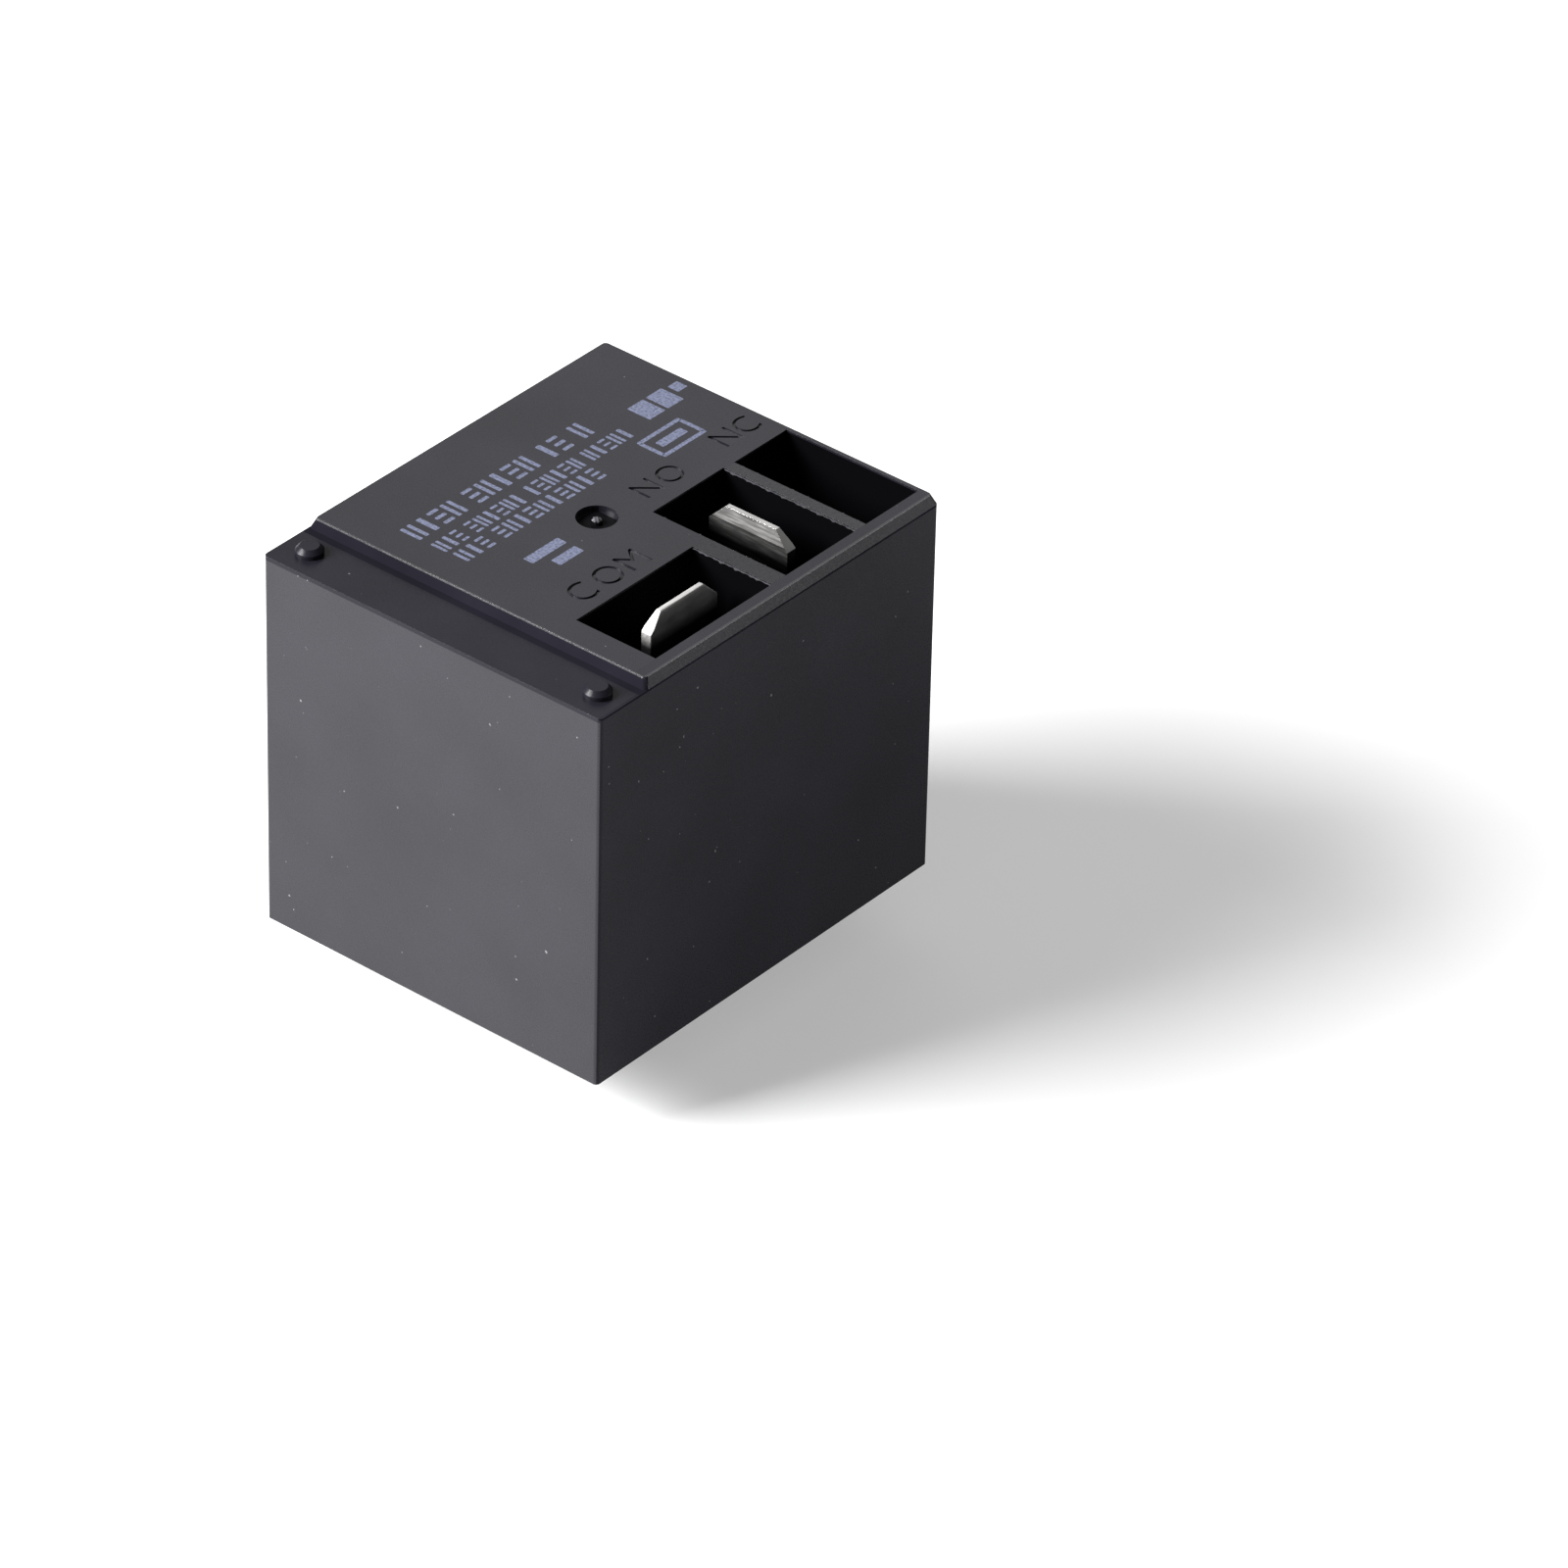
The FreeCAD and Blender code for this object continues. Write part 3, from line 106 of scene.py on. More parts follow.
def spread(tree, pattern, low, high, start=0.3, end=0.7):
    """The pattern as a number from low to high."""
    remap = tree.nodes.new("ShaderNodeMapRange")
    remap.inputs["From Min"].default_value = start
    remap.inputs["From Max"].default_value = end
    remap.inputs["To Min"].default_value = low
    remap.inputs["To Max"].default_value = high
    tree.links.new(pattern, remap.inputs["Value"])
    return remap.outputs["Result"]


def uneven(tree, pattern, roughness):
    """The pattern as a roughness somewhat under and over the stated one."""
    return spread(tree, pattern, roughness * 0.85, roughness * 1.2)


def tinted(tree, pattern, dark, light, start=0.3, end=0.7):
    """The pattern as a colour between two."""
    ramp = tree.nodes.new("ShaderNodeValToRGB")
    ramp.color_ramp.elements[0].position = start
    ramp.color_ramp.elements[0].color = (*dark, 1)
    ramp.color_ramp.elements[1].position = end
    ramp.color_ramp.elements[1].color = (*light, 1)
    tree.links.new(pattern, ramp.inputs["Fac"])
    return ramp.outputs["Color"]


def raised(tree, pattern, depth, under=None):
    """The pattern as small heights on the surface, over another one where there is one."""
    bump = tree.nodes.new("ShaderNodeBump")
    bump.inputs["Distance"].default_value = depth
    tree.links.new(pattern, bump.inputs["Height"])
    if under:
        tree.links.new(under, bump.inputs["Normal"])
    return bump.outputs["Normal"]


def surfaced(tree, shader, colour=None, roughness=None, relief=None):
    """Puts patterns on a finish: its colour, its roughness and its small heights."""
    for pattern, name in ((colour, "Base Color"), (roughness, "Roughness"), (relief, "Normal")):
        if pattern:
            tree.links.new(pattern, shader.inputs[name])


def moulded_plastic(name, colour, light, roughness, grain=0.12 * mm):
    """Moulded plastic with the fine matt texture of its mould."""
    material, tree, shader = finish_tree(name, colour, roughness)
    fine = cloud(tree, grain, 2.0)
    broad = cloud(tree, 6 * mm)
    surfaced(tree, shader, tinted(tree, broad, colour, light), uneven(tree, fine, roughness),
             raised(tree, fine, 0.006 * mm))
    return material


def dress(material, *names):
    """Gives pieces of the frame their finish."""
    for name in names:
        mesh = frame["nodes"][name].data
        mesh.materials.clear()
        mesh.materials.append(material)
        mesh.polygons.foreach_set("material_index", [0] * len(mesh.polygons))


dress(moulded_plastic("base_plastic", (0.018, 0.018, 0.020), (0.026, 0.026, 0.029), 0.45), "base_plate")


# Yoke and core: soft iron, zinc plated, bent and turned, and staked together through the yoke's foot.
# The rolled grain of the sheet shows through the plating.
def plated_iron(name, stretch):
    """Zinc plate over rolled or turned iron, its grain drawn out along one axis."""
    material, tree, shader = finish_tree(name, (0.58, 0.57, 0.54), 0.32, 1.0)
    lines = cloud(tree, 0.4 * mm, 4.0, stretch)
    surfaced(tree, shader, tinted(tree, lines, (0.50, 0.49, 0.46), (0.66, 0.65, 0.62)),
             spread(tree, lines, 0.26, 0.42), raised(tree, lines, 0.008 * mm))
    return material


dress(plated_iron("rolled_iron", (1, 1, 0.08)), "yoke")
dress(plated_iron("turned_iron", (0.3, 0.3, 4)), "core")


# Bobbin: natural cream nylon with glass fibre, moulded in one piece.
# It is slid over the core, and its flanges hold the winding.
dress(moulded_plastic("bobbin_nylon", (0.66, 0.62, 0.52), (0.74, 0.70, 0.60), 0.5, 0.3 * mm), "bobbin")


# Winding: enamelled copper wire laid turn beside turn, and its two ends wrapped round the coil pins.
# The turns lie across the coil, so their lines repeat along its height.
wave_length_at_scale_one = 0.314
wire_pitch = 0.22 * mm


def waves(tree, direction, length, stretch=(1, 1, 1), distortion=0.0):
    """Even lines that repeat once a length."""
    wave = tree.nodes.new("ShaderNodeTexWave")
    wave.bands_direction = direction
    wave.inputs["Scale"].default_value = wave_length_at_scale_one / length
    wave.inputs["Distortion"].default_value = distortion
    tree.links.new(mapped(tree, stretch), wave.inputs["Vector"])
    return wave.outputs["Fac"]


enamelled_wire, wire_tree, wire_shader = finish_tree("enamelled_wire", (0.62, 0.22, 0.09), 0.28, 0.9)
turns = waves(wire_tree, "Z", wire_pitch, distortion=0.4)
surfaced(wire_tree, wire_shader, tinted(wire_tree, turns, (0.40, 0.11, 0.04), (0.70, 0.27, 0.11)),
         relief=raised(wire_tree, turns, 0.04 * mm))
dress(enamelled_wire, "coil_winding", "coil_lead_left", "coil_lead_right")


# Coil tape: amber polyester film, wound over the finished coil.
# It holds the last layer of wire down and creases a little where it is drawn tight.
tape_film, tape_tree, tape_shader = finish_tree("amber_film", (0.62, 0.36, 0.05), 0.18)
tape_creases = cloud(tape_tree, 1.8 * mm, 5.0, (1, 1, 0.3))
surfaced(tape_tree, tape_shader, tinted(tape_tree, tape_creases, (0.52, 0.28, 0.03), (0.70, 0.44, 0.09)),
         relief=raised(tape_tree, tape_creases, 0.03 * mm))
dress(tape_film, "coil_tape")


# Terminals and pins: brass strip and wire, blanked, folded and then tinned.
# The tin runs in faint streaks along each piece. Each tab is bright near its tip only,
# and its colour fades to dark below as painted shade, where it stands in its well.
# Painted shade: the dark colour that each tab fades to below its tip.
tin_in_painted_shade = (0.03, 0.03, 0.032)
unshaded_tip_length = 1.2 * mm
painted_shade_fade = 1.0 * mm
tab_rounding = 0.07 * mm
same_place = 0.0005 * mm
flat_angle = math.radians(0.5)
edge_angle = math.radians(25)
smooth_angle = math.radians(18)


def blended(tree, share, first, second):
    """Two colours, the second one's share set by a number."""
    mix = tree.nodes.new("ShaderNodeMix")
    mix.data_type = "RGBA"
    first_input, second_input, colour_output = 6, 7, 2
    tree.links.new(share, mix.inputs["Factor"])
    for number, colour in ((first_input, first), (second_input, second)):
        if isinstance(colour, tuple):
            mix.inputs[number].default_value = (*colour, 1)
        else:
            tree.links.new(colour, mix.inputs[number])
    return mix.outputs[colour_output]


def tinned(name, stretch, roughness, painted_shade_below=None):
    """Tin with faint streaks along one axis, darkened as painted shade under a height where one is given.
    """
    material, tree, shader = finish_tree(name, (0.70, 0.69, 0.68), roughness, 1.0)
    streaks = cloud(tree, 0.2 * mm, 3.0, stretch)
    patches = cloud(tree, 1.6 * mm, 3.0)
    tin = tinted(tree, patches, (0.60, 0.59, 0.58), (0.74, 0.73, 0.72))
    # Under this height the tin's colour fades to dark: painted shade.
    if painted_shade_below:
        parts = tree.nodes.new("ShaderNodeSeparateXYZ")
        tree.links.new(mapped(tree), parts.inputs["Vector"])
        unshaded_share = spread(tree, parts.outputs["Z"], 0, 1, painted_shade_below - painted_shade_fade, painted_shade_below)
        tin = blended(tree, unshaded_share, tin_in_painted_shade, tin)
    surfaced(tree, shader, tin, uneven(tree, streaks, roughness), raised(tree, streaks, 0.003 * mm))
    return material


def only(thing):
    """Selects one object and makes it the active one."""
    bpy.ops.object.select_all(action="DESELECT")
    thing.select_set(True)
    bpy.context.view_layer.objects.active = thing


def merged_copy(node, name):
    """A copy of a CAD node in its place, with whole faces, to be worked on."""
    twin = frame["nodes"][node].copy()
    twin.data = frame["nodes"][node].data.copy()
    twin.name = name
    twin.parent = None
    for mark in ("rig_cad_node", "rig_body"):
        del twin[mark]
    bpy.context.scene.collection.objects.link(twin)
    only(twin)
    bpy.ops.object.mode_set(mode="EDIT")
    bpy.ops.mesh.select_all(action="SELECT")
    bpy.ops.mesh.remove_doubles(threshold=same_place)
    bpy.ops.mesh.dissolve_limited(angle_limit=flat_angle)
    bpy.ops.object.mode_set(mode="OBJECT")
    return twin


def softened(thing, width, segments, by):
    """Rounds edges, by their angle or by their own weight."""
    rounding = thing.modifiers.new("worn_edges", "BEVEL")
    rounding.limit_method = by
    rounding.angle_limit = edge_angle
    rounding.width = width
    rounding.segments = segments
    only(thing)
    bpy.ops.object.modifier_apply(modifier=rounding.name)


def smoothed(thing):
    """Smooth shading that leaves broad faces flat."""
    only(thing)
    bpy.ops.object.shade_smooth_by_angle(angle=smooth_angle)
    evening = thing.modifiers.new("flat_faces", "WEIGHTED_NORMAL")
    evening.keep_sharp = True
    bpy.ops.object.modifier_apply(modifier=evening.name)


def take_place(thing, node, material):
    """Shows a finished piece instead of its CAD node."""
    thing.data.materials.clear()
    thing.data.materials.append(material)
    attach(thing, "frame")
    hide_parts(node)
    dress(material, node)


terminals = (
    ("com_terminal", "common_terminal_tumbled", "tin_along_the_common_tab", (1, 0.12, 1), 0.72),
    ("make_terminal", "make_terminal_tumbled", "tin_along_the_make_tab", (0.12, 1, 1), 0.32),
)
for node, name, finish, stretch, roughness in terminals:
    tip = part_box(node)[1].z
    blade = merged_copy(node, name)
    softened(blade, tab_rounding, 2, "ANGLE")
    smoothed(blade)
    take_place(blade, node, tinned(finish, stretch, roughness, tip - unshaded_tip_length))
dress(tinned("tin_down_the_pins", (1, 1, 0.12), 0.34), "coil_pin_left", "coil_pin_right", "com_pin")


# Insulating barrier: a sheet of pressed board, cut and folded.
# It stands between the coil and the live strips.
board, board_tree, board_shader = finish_tree("pressed_board", (0.70, 0.66, 0.54), 0.6)
fibres = cloud(board_tree, 0.5 * mm, 6.0, (1, 1, 3))
surfaced(board_tree, board_shader, tinted(board_tree, fibres, (0.62, 0.57, 0.45), (0.76, 0.72, 0.61)),
         relief=raised(board_tree, fibres, 0.02 * mm))
dress(board, "insulation_barrier")


# Contacts: silver alloy rivets, headed cold, with faces that are faintly turned.
# One is closed into the make terminal's shelf, the other into the leaf.
silver, silver_tree, silver_shader = finish_tree("silver_alloy", (0.86, 0.85, 0.82), 0.3, 1.0)
silver_grain = cloud(silver_tree, 0.15 * mm, 3.0)
surfaced(silver_tree, silver_shader, roughness=spread(silver_tree, silver_grain, 0.22, 0.4),
         relief=raised(silver_tree, silver_grain, 0.01 * mm))
dress(silver, "fixed_contact", "moving_contact")


# Armature, leaf and rivets: stamped iron with a hard copper leaf staked on by two brass rivets.
# They turn together on the yoke's top edge.
def rolled_alloy(name, dark, light, stretch):
    """Bare rolled or drawn metal with the lines that the rolls or the die left on it."""
    material, tree, shader = finish_tree(name, light, 0.3, 1.0)
    lines = cloud(tree, 0.25 * mm, 4.0, stretch)
    surfaced(tree, shader, tinted(tree, lines, dark, light), spread(tree, lines, 0.22, 0.4),
             raised(tree, lines, 0.006 * mm))
    return material


dress(plated_iron("stamped_iron", (1, 0.08, 1)), "armature")
dress(rolled_alloy("leaf_copper", (0.60, 0.28, 0.16), (0.76, 0.42, 0.26), (1, 0.1, 1)), "contact_leaf")
dress(rolled_alloy("rivet_brass", (0.62, 0.44, 0.18), (0.80, 0.62, 0.32), (1, 1, 1)), "leaf_rivets")


# Return spring: drawn steel wire, wound close and hooked over the two fingers behind the yoke.
# Its upper hook goes with the armature and its lower one stays, so the coils give between them.
def stretched_between(node, name, material):
    """A copy of a piece in its place, with whole faces and a finish, shown instead of its CAD node.
    """
    twin = merged_copy(node, name)
    twin.data.materials.clear()
    twin.data.materials.append(material)
    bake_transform(twin)
    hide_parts(node)
    dress(material, node)


spring_steel = rolled_alloy("spring_steel", (0.42, 0.42, 0.43), (0.60, 0.60, 0.61), (1, 1, 0.3))
stretched_between("return_spring", "return_spring_hooked", spring_steel)


# Copper braid: fine bare strands plaited round, welded to the common strip and to the leaf.
# Its upper end goes with the leaf, and the loop gives between the two welds.
strand_pitch = 0.25 * mm
braid, braid_tree, braid_shader = finish_tree("plaited_copper", (0.70, 0.34, 0.18), 0.34, 1.0)
strands = [waves(braid_tree, "DIAGONAL", strand_pitch, (1, 1, lean)) for lean in (1, -1)]
crossing = braid_tree.nodes.new("ShaderNodeMath")
crossing.operation = "MAXIMUM"
for strand, taker in zip(strands, crossing.inputs):
    braid_tree.links.new(strand, taker)
plait = crossing.outputs["Value"]
surfaced(braid_tree, braid_shader, tinted(braid_tree, plait, (0.34, 0.13, 0.06), (0.76, 0.40, 0.23)),
         relief=raised(braid_tree, plait, 0.05 * mm))
stretched_between("copper_braid", "copper_braid_welded", braid)


# Case: one black moulding with thin walls, matt from its spark-eroded mould.
# Its gloss is set zone by zone as painted light: lowered as painted shade on the ledge, the riser behind
# it, the slopes, the right side, the wells and the gate dimple, and full as painted highlights along the
# top's front and right edges. The wells and the dimple are also coloured nearly black as painted shade.
# Dust lies in fine specks.
# The three terminal words are sunk into the top beside the wells.
case_material, case_tree, case_shader = finish_tree("case_plastic", (0.012, 0.012, 0.014), 0.28)
case_shader.inputs["IOR"].default_value = 1.44
case_fine = cloud(case_tree, 0.11 * mm, 2.0)
case_broad = cloud(case_tree, 7 * mm, 4.0)
case_tint = tinted(case_tree, case_broad, (0.0090, 0.0084, 0.0122), (0.0130, 0.0122, 0.0178))
case_dust = (0.16, 0.16, 0.17)
case_low, case_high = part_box("cover")
case_top = case_high.z
box_edge = 0.001


def in_box(tree, low, high):
    """One inside a box of the piece's own coordinates, and nought outside it."""
    place = mapped(tree)
    middle, half = (low + high) / 2, (high - low) / 2
    for operation, vector in (("SUBTRACT", middle), ("ABSOLUTE", None), ("DIVIDE", half)):
        step = tree.nodes.new("ShaderNodeVectorMath")
        step.operation = operation
        tree.links.new(place, step.inputs[0])
        if vector:
            step.inputs[1].default_value = vector
        place = step.outputs["Vector"]
    parts = tree.nodes.new("ShaderNodeSeparateXYZ")
    tree.links.new(place, parts.inputs["Vector"])
    farthest = parts.outputs["X"]
    for axis in ("Y", "Z"):
        larger = tree.nodes.new("ShaderNodeMath")
        larger.operation = "MAXIMUM"
        tree.links.new(farthest, larger.inputs[0])
        tree.links.new(parts.outputs[axis], larger.inputs[1])
        farthest = larger.outputs["Value"]
    return spread(tree, farthest, 1, 0, 1 - box_edge, 1 + box_edge)


def on_case(along, back, up=0.0):
    """A place on the raised top, from the case's front left corner, in millimetres."""
    return Vector((case_low.x + along * mm, case_low.y + back * mm, case_top + up * mm))


wells = (on_case(15.3, 6.3, -9), on_case(26.5, 31.9, -0.15))
front_web = (on_case(19.9, 17.45, -0.15), on_case(26.3, 18.9, 0.1))
rear_web = (on_case(15.6, 25.65, -0.15), on_case(26.3, 26.65, 0.1))
gate_dimple = (on_case(12.2, 15.0, -1.0), on_case(14.4, 17.2, -0.08))
# Painted light: each zone's gloss darkens it as painted shade, or lights an edge as a painted highlight.
painted_gloss_by_place = {
    "ledge": ((on_case(-1, -1, -1), on_case(29, 4.0, 0.1)), 0.16),
    "riser behind the ledge": ((on_case(0, 3.6, -0.8), on_case(27.5, 4.46, -0.09)), 0.0),
    "front edge of the top": ((on_case(0.2, 4.38, -0.09), on_case(27.3, 4.56, 0.01)), 1.0),
    "front web": (front_web, 0.5),
    "rear web": (rear_web, 0.6),
    "land right of the wells": ((on_case(26.3, 4.56, -0.15), on_case(27.1, 31.7, 0.1)), 0.42),
    "right edge of the top": ((on_case(27.04, 4.56, -0.10), on_case(27.32, 31.9, 0.01)), 1.0),
    "right slope": ((on_case(27.12, 4.5, -0.70), on_case(28, 34, -0.02)), 0.12),
    "left slope": ((on_case(-0.5, 4.5, -0.75), on_case(0.4, 34, -0.02)), 0.08),
    "gate dimple": (gate_dimple, 0.02),
    "right side": ((on_case(27.4, -1, -30), on_case(28, 34, -0.72)), 0.08),
    "foot of the right slope": ((on_case(27.3, -1, -0.85), on_case(28, 34, -0.70)), 0.0),
    "wells": (wells, 0.02),
}
case_painted_gloss = (0.5, 0.5, 0.5)
for (low, high), gloss in painted_gloss_by_place.values():
    case_painted_gloss = blended(case_tree, in_box(case_tree, low, high), case_painted_gloss, (gloss, gloss, gloss))
case_tree.links.new(case_painted_gloss, case_shader.inputs["Specular IOR Level"])

case_specks = spread(case_tree, cloud(case_tree, 0.4 * mm, 1.0), 0, 1, 0.80, 0.82)
case_colour = blended(case_tree, case_specks, case_tint, case_dust)
# The wells and the gate dimple are coloured nearly black as painted shade in these recesses; the two webs
# get a flat tone of their own.
painted_shade_and_web_tone_by_place = {
    "wells": (wells, (0.0020, 0.0020, 0.0025)),
    "front web": (front_web, (0.012, 0.012, 0.015)),
    "rear web": (rear_web, (0.014, 0.014, 0.017)),
    "gate dimple": (gate_dimple, (0.004, 0.004, 0.005)),
}
for (low, high), shade in painted_shade_and_web_tone_by_place.values():
    case_colour = blended(case_tree, in_box(case_tree, low, high), case_colour, shade)

case_relief = raised(case_tree, case_fine, 0.004 * mm)
web_grain = spread(case_tree, cloud(case_tree, 0.22 * mm), 0, 1)
for low, high in (front_web, rear_web):
    web_pits = case_tree.nodes.new("ShaderNodeMath")
    web_pits.operation = "MULTIPLY"
    case_tree.links.new(in_box(case_tree, low, high), web_pits.inputs[0])
    case_tree.links.new(web_grain, web_pits.inputs[1])
    case_relief = raised(case_tree, web_pits.outputs["Value"], 0.015 * mm, case_relief)
surfaced(case_tree, case_shader, case_colour, spread(case_tree, case_fine, 0.24, 0.36), case_relief)


def joined(pieces, name):
    """Joins objects into one."""
    only(pieces[0])
    for piece in pieces:
        piece.select_set(True)
    bpy.ops.object.join()
    whole = bpy.context.object
    whole.name = name
    return whole


def settled(thing):
    """Moves an object's place, turn and size into its mesh."""
    only(thing)
    bpy.ops.object.transform_apply(location=True, rotation=True, scale=True)


# The words run from front to back. Each has its distance from the left, its letters' height, and the
# letters with their distances from the front, in millimetres.
words = {
    "common": (18.2, 2.05, (("C", 9.1), ("O", 11.6), ("M", 13.9))),
    "open": (13.55, 1.9, (("N", 20.7), ("O", 22.9))),
    "closed": (13.4, 1.9, (("N", 28.5), ("C", 30.4))),
}
capital_share = 0.73
sunk_depth = 0.12 * mm
stroke_thinning = 0.02 * mm
letters = []
for along, height, places in words.values():
    for letter, back in places:
        bpy.ops.object.text_add(location=on_case(along, back), rotation=(0, 0, math.pi / 2))
        stamp = bpy.context.object
        stamp.data.body = letter
        stamp.data.size = height * mm / capital_share
        stamp.data.align_x = "CENTER"
        stamp.data.align_y = "CENTER"
        stamp.data.extrude = sunk_depth
        stamp.data.offset = -stroke_thinning
        only(stamp)
        bpy.ops.object.convert(target="MESH")
        letters.append(bpy.context.object)
stamps = joined(letters, "word_stamps")
settled(stamps)

same_level = 1e-6
ledge_drop = 0.7 * mm
peg_steps = (0.3 * mm, 0.6 * mm)
gate_along, gate_back = 13.3, 16.1
gate_reach = 1.6 * mm
front_face_depth = 0.05 * mm
widest_rounding = 0.18 * mm
mouth_rounding, edge_rounding, peg_rounding = 0.25, 0.5, 1.0

case = merged_copy("cover", "case_moulding")
ledge_level = case_top - ledge_drop
peg_levels = [ledge_level + step for step in peg_steps]
gate_place = on_case(gate_along, gate_back)
wells_low, wells_high = wells
weights = case.data.attributes.new("bevel_weight_edge", "FLOAT", "EDGE")
for edge in case.data.edges:
    ends = [case.data.vertices[number].co for number in edge.vertices]
    middle = (ends[0] + ends[1]) / 2
    if abs(ends[0].z - ends[1].z) > same_level or (middle - gate_place).length < gate_reach:
        continue
    mouth = wells_low.x < middle.x < wells_high.x and middle.y > wells_low.y
    if abs(middle.z - case_top) < same_level:
        weights.data[edge.index].value = mouth_rounding if mouth else edge_rounding
    elif abs(middle.z - ledge_level) < same_level and middle.y < case_low.y + front_face_depth:
        weights.data[edge.index].value = edge_rounding
    elif min(abs(middle.z - peg_level) for peg_level in peg_levels) < same_level:
        weights.data[edge.index].value = peg_rounding
softened(case, widest_rounding, 3, "WEIGHT")

sinking = case.modifiers.new("sunk_words", "BOOLEAN")
sinking.operation = "DIFFERENCE"
sinking.object = stamps
sinking.solver = "EXACT"
bpy.ops.object.modifier_apply(modifier=sinking.name)
bpy.data.objects.remove(stamps)
smoothed(case)
take_place(case, "cover", case_material)


# Gate stub: the torn end of the sprue, left in the dimple where the plastic was shot in.
# It is of the case's own plastic, a little paler where it tore.
stub_radius = 0.31 * mm
stub_flatness = 0.5
stub_level = -0.22
torn_share = 0.16
torn_plastic = moulded_plastic("torn_plastic", (0.035, 0.035, 0.04), (0.08, 0.08, 0.09), 0.5, 0.1 * mm)


def shaped(add, name, scale=(1, 1, 1), **sizes):
    """A new mesh from one of Blender's basic shapes, settled in its place."""
    bpy.ops.object.select_all(action="DESELECT")
    add(**sizes)
    thing = bpy.context.object
    thing.name = name
    thing.scale = scale
    settled(thing)
    return thing


def added(thing, material):
    """Finishes an extra piece and fixes it to the frame."""
    thing.data.materials.append(material)
    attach(thing, "frame")


stub_middle = on_case(gate_along, gate_back, stub_level)
stub = shaped(bpy.ops.mesh.primitive_ico_sphere_add, "gate_stub", (1, 1, stub_flatness),
              subdivisions=3, radius=stub_radius, location=stub_middle)
for vertex in stub.data.vertices:
    out = vertex.co - stub_middle
    torn = 1 + torn_share * math.sin(out.x * 19 / mm) * math.sin(out.y * 23 / mm + 1)
    vertex.co = stub_middle + out * torn
added(stub, torn_plastic)


# Web flash: the mould's halves closed badly over the two webs, and left a thin ragged skin along them.
# It hangs from the webs' edges over the wells, thinner than paper.
skin_thickness = 0.03 * mm
skin_width = 0.08 * mm
skin_grip = 0.03 * mm
skin_level = -0.1


def ragged_skin(along, back, length, out):
    """A thin skin along a web's edge, its free side torn, that reaches into the well."""
    skin = shaped(bpy.ops.mesh.primitive_grid_add, "skin", (length * mm, skin_width, 1), x_subdivisions=60,
                  y_subdivisions=1, size=1, location=on_case(along + length / 2, back, skin_level))
    edge = on_case(0, back).y
    for vertex in skin.data.vertices:
        tear = 0.5 + 0.5 * math.sin(vertex.co.x * 3.1 / mm) * math.sin(vertex.co.x * 7.7 / mm + back)
        free = (vertex.co.y - edge) * out > 0
        vertex.co.y = edge + out * (0.02 + 0.16 * tear ** 2) * mm if free else edge - out * skin_grip
    thickening = skin.modifiers.new("skin_thickness", "SOLIDIFY")
    thickening.thickness = skin_thickness
    bpy.ops.object.modifier_apply(modifier=thickening.name)
    return skin


web_edges = ((19.9, 17.5, 6.4, -1), (15.5, 18.85, 10.8, 1), (15.5, 25.7, 10.8, -1), (15.6, 26.6, 10.7, 1))
skins = [ragged_skin(*web_edge) for web_edge in web_edges]
added(joined(skins, "web_flash"), torn_plastic)


# Print: pale lavender ink, tamped on the raised top in three rows and three plain marks.
# Every character is a plain bar or a few here, so the rows read as nothing.
ink, ink_tree, ink_shader = finish_tree("pale_ink", (0.20, 0.21, 0.30), 0.5)
ink_wear = cloud(ink_tree, 0.16 * mm, 4.0)
ink_tint = tinted(ink_tree, ink_wear, (0.05, 0.055, 0.085), (0.145, 0.16, 0.245), 0.3, 0.6)
surfaced(ink_tree, ink_shader, ink_tint, relief=raised(ink_tree, ink_wear, 0.01 * mm))
ink_height = 0.015 * mm
ink_corner = 0.07 * mm
character_share = 0.74
group_gap = 0.6
broad_stroke = 1.4


def ink_block(along, back, height, width):
    """A flat block of ink with soft corners, on the raised top."""
    block = shaped(bpy.ops.mesh.primitive_plane_add, "ink", (height * mm, width * mm, 1),
                   size=1, location=on_case(along, back, -ink_height / mm / 2))
    bpy.ops.object.mode_set(mode="EDIT")
    bpy.ops.mesh.select_all(action="SELECT")
    bpy.ops.mesh.bevel(offset=ink_corner, segments=2, affect="VERTICES")
    bpy.ops.mesh.select_all(action="SELECT")
    bpy.ops.mesh.extrude_region_move(TRANSFORM_OT_translate={"value": (0, 0, ink_height)})
    bpy.ops.mesh.select_all(action="SELECT")
    bpy.ops.mesh.normals_make_consistent(inside=False)
    bpy.ops.object.mode_set(mode="OBJECT")
    return block


def bars(along, back, height, width, stroke, pattern):
    """One printed character: two upright bars, three lying ones or a single broad one."""
    if pattern == 0:
        out = (width - stroke) / 2
        return [ink_block(along, back + side * out, height, stroke) for side in (-1, 1)]
    if pattern == 1:
        out = (height - stroke) / 2
        return [ink_block(along + side * out, back, stroke, width) for side in (-1, 0, 1)]
    return [ink_block(along, back, height, stroke * broad_stroke)]


# Each row has its distance from the left, its characters' height, where it begins and ends from the front,
# its stroke, all in millimetres, and how many characters each of its groups has.
rows = {
    "upper": (6.0, 1.7, 6.7, 23.6, 0.30, (4, 5, 2, 1)),
    "middle": (8.3, 1.3, 6.8, 25.0, 0.22, (3, 6, 6, 5)),
    "lower": (10.0, 1.3, 6.9, 20.3, 0.24, (3, 10)),
}
for name, (along, height, first, last, stroke, groups) in rows.items():
    step = (last - first) / (sum(groups) + (len(groups) - 1) * group_gap)
    back = first + step / 2
    blocks = []
    for order, group in enumerate(groups):
        for number in range(group):
            pattern = (number * 2 + order) % 3
            blocks += bars(along, back, height, step * character_share, stroke, pattern)
            back += step
        back += group_gap * step
    added(joined(blocks, f"print_row_{name}"), ink)

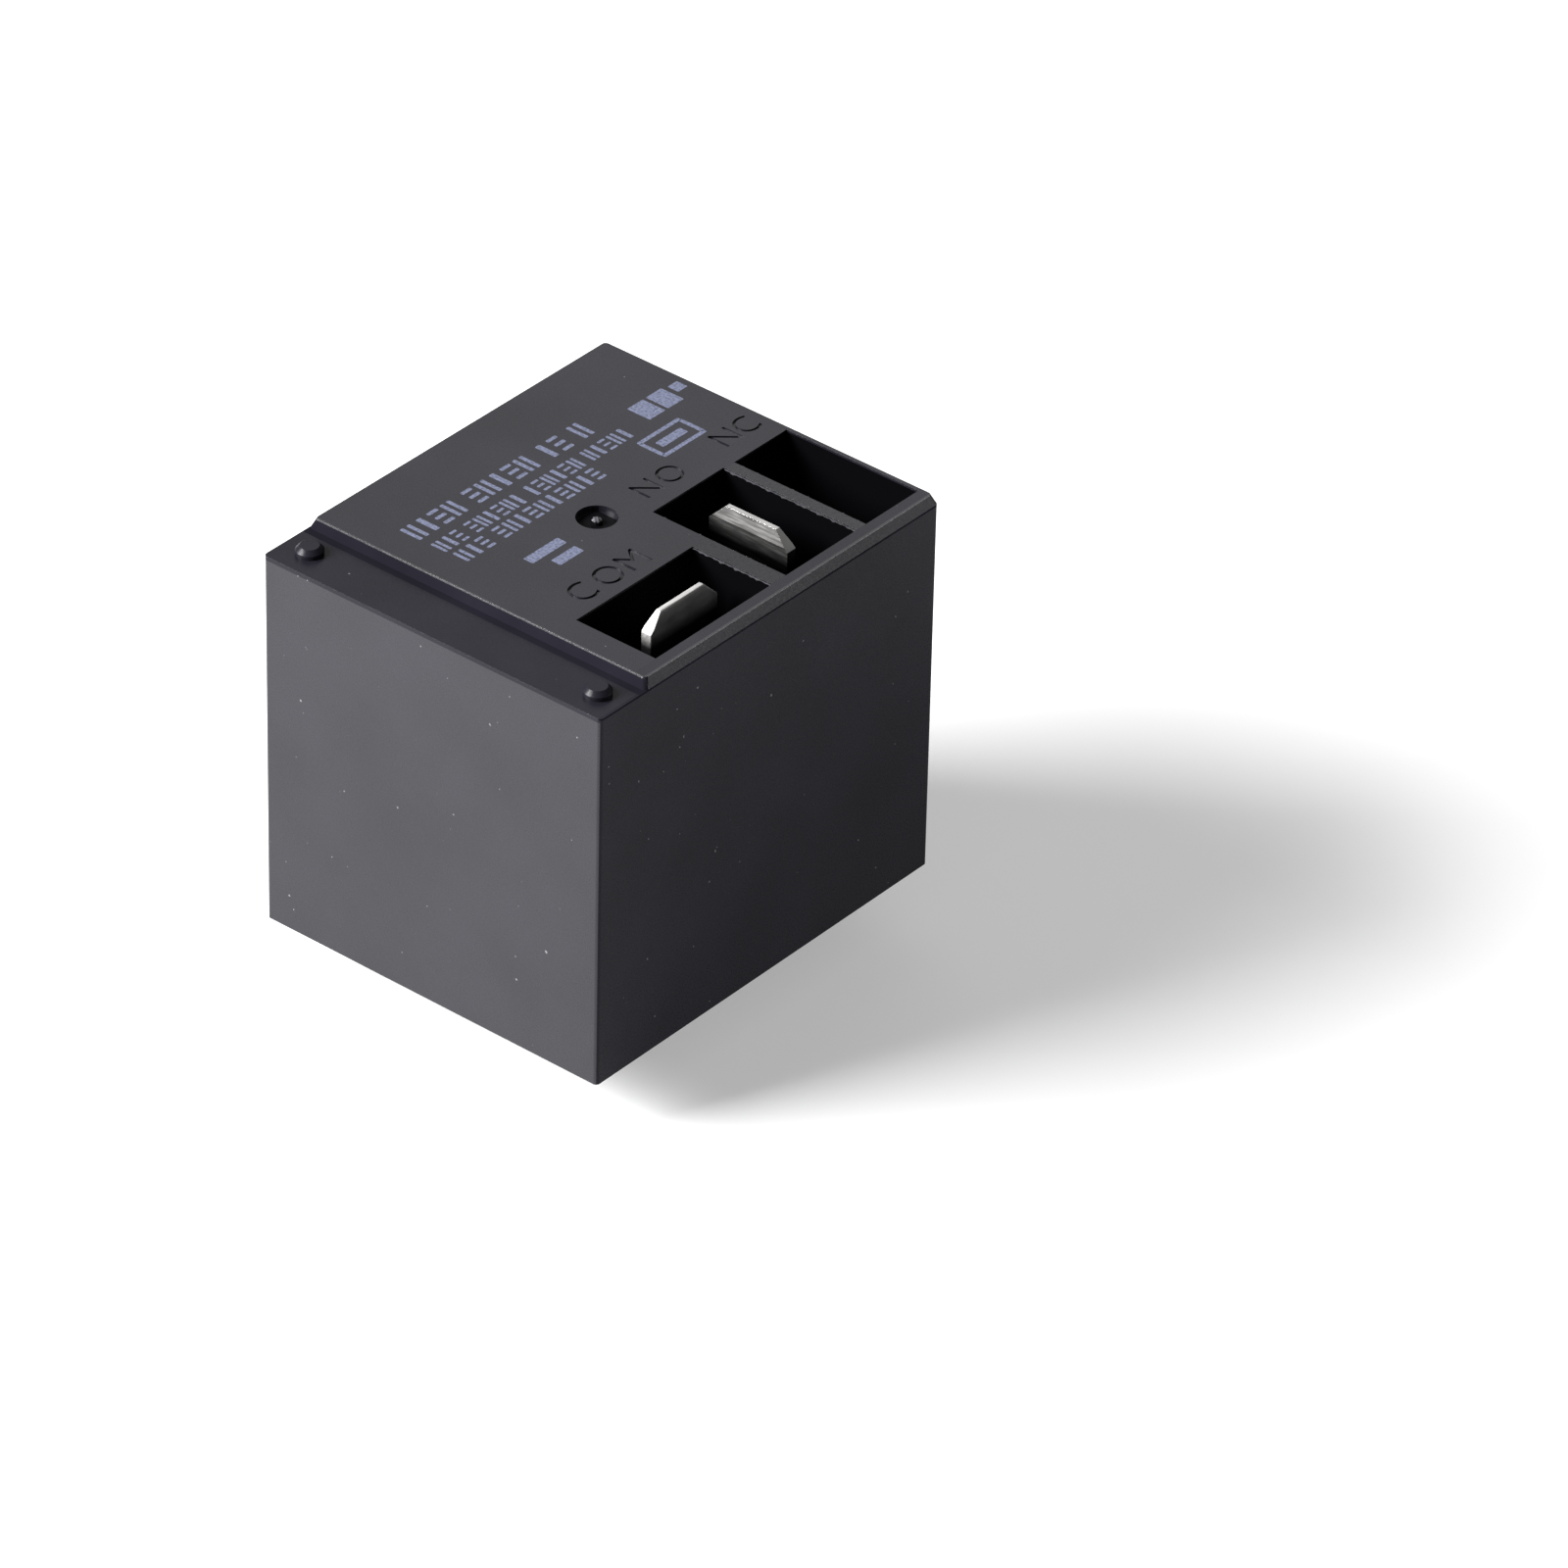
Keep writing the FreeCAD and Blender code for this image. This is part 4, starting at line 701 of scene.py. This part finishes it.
# Each mark is a few blocks, each with its two distances, its height and its width.
marks = {
    "by_the_common_word": ((13.4, 11.1, 0.8, 3.2), (14.8, 11.6, 0.8, 2.2)),
    "framed": ((9.75, 26.2, 0.32, 4.0), (11.85, 26.2, 0.32, 4.0), (10.8, 24.3, 1.9, 0.32),
               (10.8, 28.1, 1.9, 0.32), (10.8, 26.2, 0.7, 2.4)),
    "by_the_rear": ((7.5, 27.6, 1.9, 1.5), (7.5, 29.4, 1.9, 1.5), (7.2, 31.0, 0.9, 0.9)),
}
for name, blocks in marks.items():
    added(joined([ink_block(*block) for block in blocks], f"print_mark_{name}"), ink)


# Sealing resin: black epoxy poured over the base plate and drawn up at the walls and pins.
# It set glossy, and sank in soft hollows as it shrank.
resin, resin_tree, resin_shader = finish_tree("sealing_resin", (0.012, 0.012, 0.014), 0.12)
resin_hollows = cloud(resin_tree, 7 * mm, 2.0)
resin_haze = cloud(resin_tree, 0.5 * mm, 4.0)
surfaced(resin_tree, resin_shader, roughness=spread(resin_tree, resin_haze, 0.08, 0.2),
         relief=raised(resin_tree, resin_hollows, 0.5 * mm))
dress(resin, "potting_seal")


# Inspection dot: a drop of green ink on the resin, put there by hand after the last test.
# It dried thin, with an uneven rim.
green_ink, dot_tree, dot_shader = finish_tree("green_ink", (0.07, 0.35, 0.35), 0.35)
dot_wash = cloud(dot_tree, 0.8 * mm, 4.0)
surfaced(dot_tree, dot_shader, tinted(dot_tree, dot_wash, (0.05, 0.28, 0.28), (0.10, 0.42, 0.42)))
dot_radius = 1.45 * mm
dot_thickness = 0.02 * mm
dot_along, dot_back = 12.75 * mm, 24.1 * mm
resin_face = 5.0 * mm
dot_place = Vector((case_low.x + dot_along, case_low.y + dot_back, resin_face - dot_thickness / 2))
dot = shaped(bpy.ops.mesh.primitive_cylinder_add, "inspection_dot", vertices=48, radius=dot_radius,
             depth=dot_thickness, location=dot_place)
for vertex in dot.data.vertices:
    out = vertex.co - dot_place
    turn = math.atan2(out.y, out.x)
    ragged = 1 + 0.05 * math.sin(3 * turn + 0.7) + 0.03 * math.sin(7 * turn)
    vertex.co.x = dot_place.x + out.x * ragged
    vertex.co.y = dot_place.y + out.y * ragged
added(dot, green_ink)


# Studio: a plain pale floor that glows a little, as a light table does, and keeps the shadow soft.
# A low soft light stands at the front left, a broad one behind and a weak one to the right.
paper, _, paper_shader = finish_tree("pale_paper", (0.66, 0.66, 0.66), 0.7)
paper_shader.inputs["Specular IOR Level"].default_value = 0.1
paper_shader.inputs["Emission Color"].default_value = (1, 1, 1, 1)
paper_shader.inputs["Emission Strength"].default_value = 0.36
floor = shaped(bpy.ops.mesh.primitive_plane_add, "floor", size=8, location=(0, 0, 0))
floor.data.materials.append(paper)

camera_distance = 675.17 * mm
camera_azimuth = math.radians(39.16)
camera_elevation = math.radians(34.37)
camera_roll = 0.0234
camera_lens = 240.33
sensor_width = 36
aim = Vector((1.21, 16.91, 4.0)) * mm


def from_aim(azimuth, elevation, distance):
    """A point seen from the aim point at an azimuth from -Y towards +X, an elevation and a distance."""
    level = distance * math.cos(elevation)
    height = distance * math.sin(elevation)
    return aim + Vector((math.sin(azimuth) * level, -math.cos(azimuth) * level, height))


def softbox(name, azimuth, elevation, distance, width, height, power):
    """A soft rectangular light that faces the relay."""
    place = from_aim(math.radians(azimuth), math.radians(elevation), distance)
    bpy.ops.object.light_add(type="AREA", location=place)
    light = bpy.context.object
    light.name = name
    light.rotation_euler = (aim - place).to_track_quat("-Z", "Y").to_euler()
    light.data.shape = "RECTANGLE"
    light.data.size = width
    light.data.size_y = height
    light.data.energy = power


softbox("front_left_light", azimuth=-39, elevation=33, distance=0.7, width=0.42, height=0.32, power=16.2)
softbox("back_light", azimuth=-141, elevation=36, distance=1.2, width=0.9, height=0.7, power=1.5)
softbox("right_light", azimuth=132, elevation=0, distance=1.0, width=0.5, height=0.25, power=3.2)

world = bpy.data.worlds.new("studio")
bpy.context.scene.world = world
world.use_nodes = True
world.node_tree.nodes["Background"].inputs["Color"].default_value = (1.0, 1.0, 1.0, 1)
world.node_tree.nodes["Background"].inputs["Strength"].default_value = 0.17

bpy.ops.object.camera_add(location=from_aim(camera_azimuth, camera_elevation, camera_distance))
camera = bpy.context.object
look = (aim - camera.location).to_track_quat("-Z", "Y")
camera.rotation_euler = look.to_euler()
camera.rotation_euler.rotate_axis("Z", camera_roll)
camera.data.sensor_width = sensor_width
camera.data.lens = camera_lens
bpy.context.scene.camera = camera
bpy.context.scene.view_settings.view_transform = "Standard"
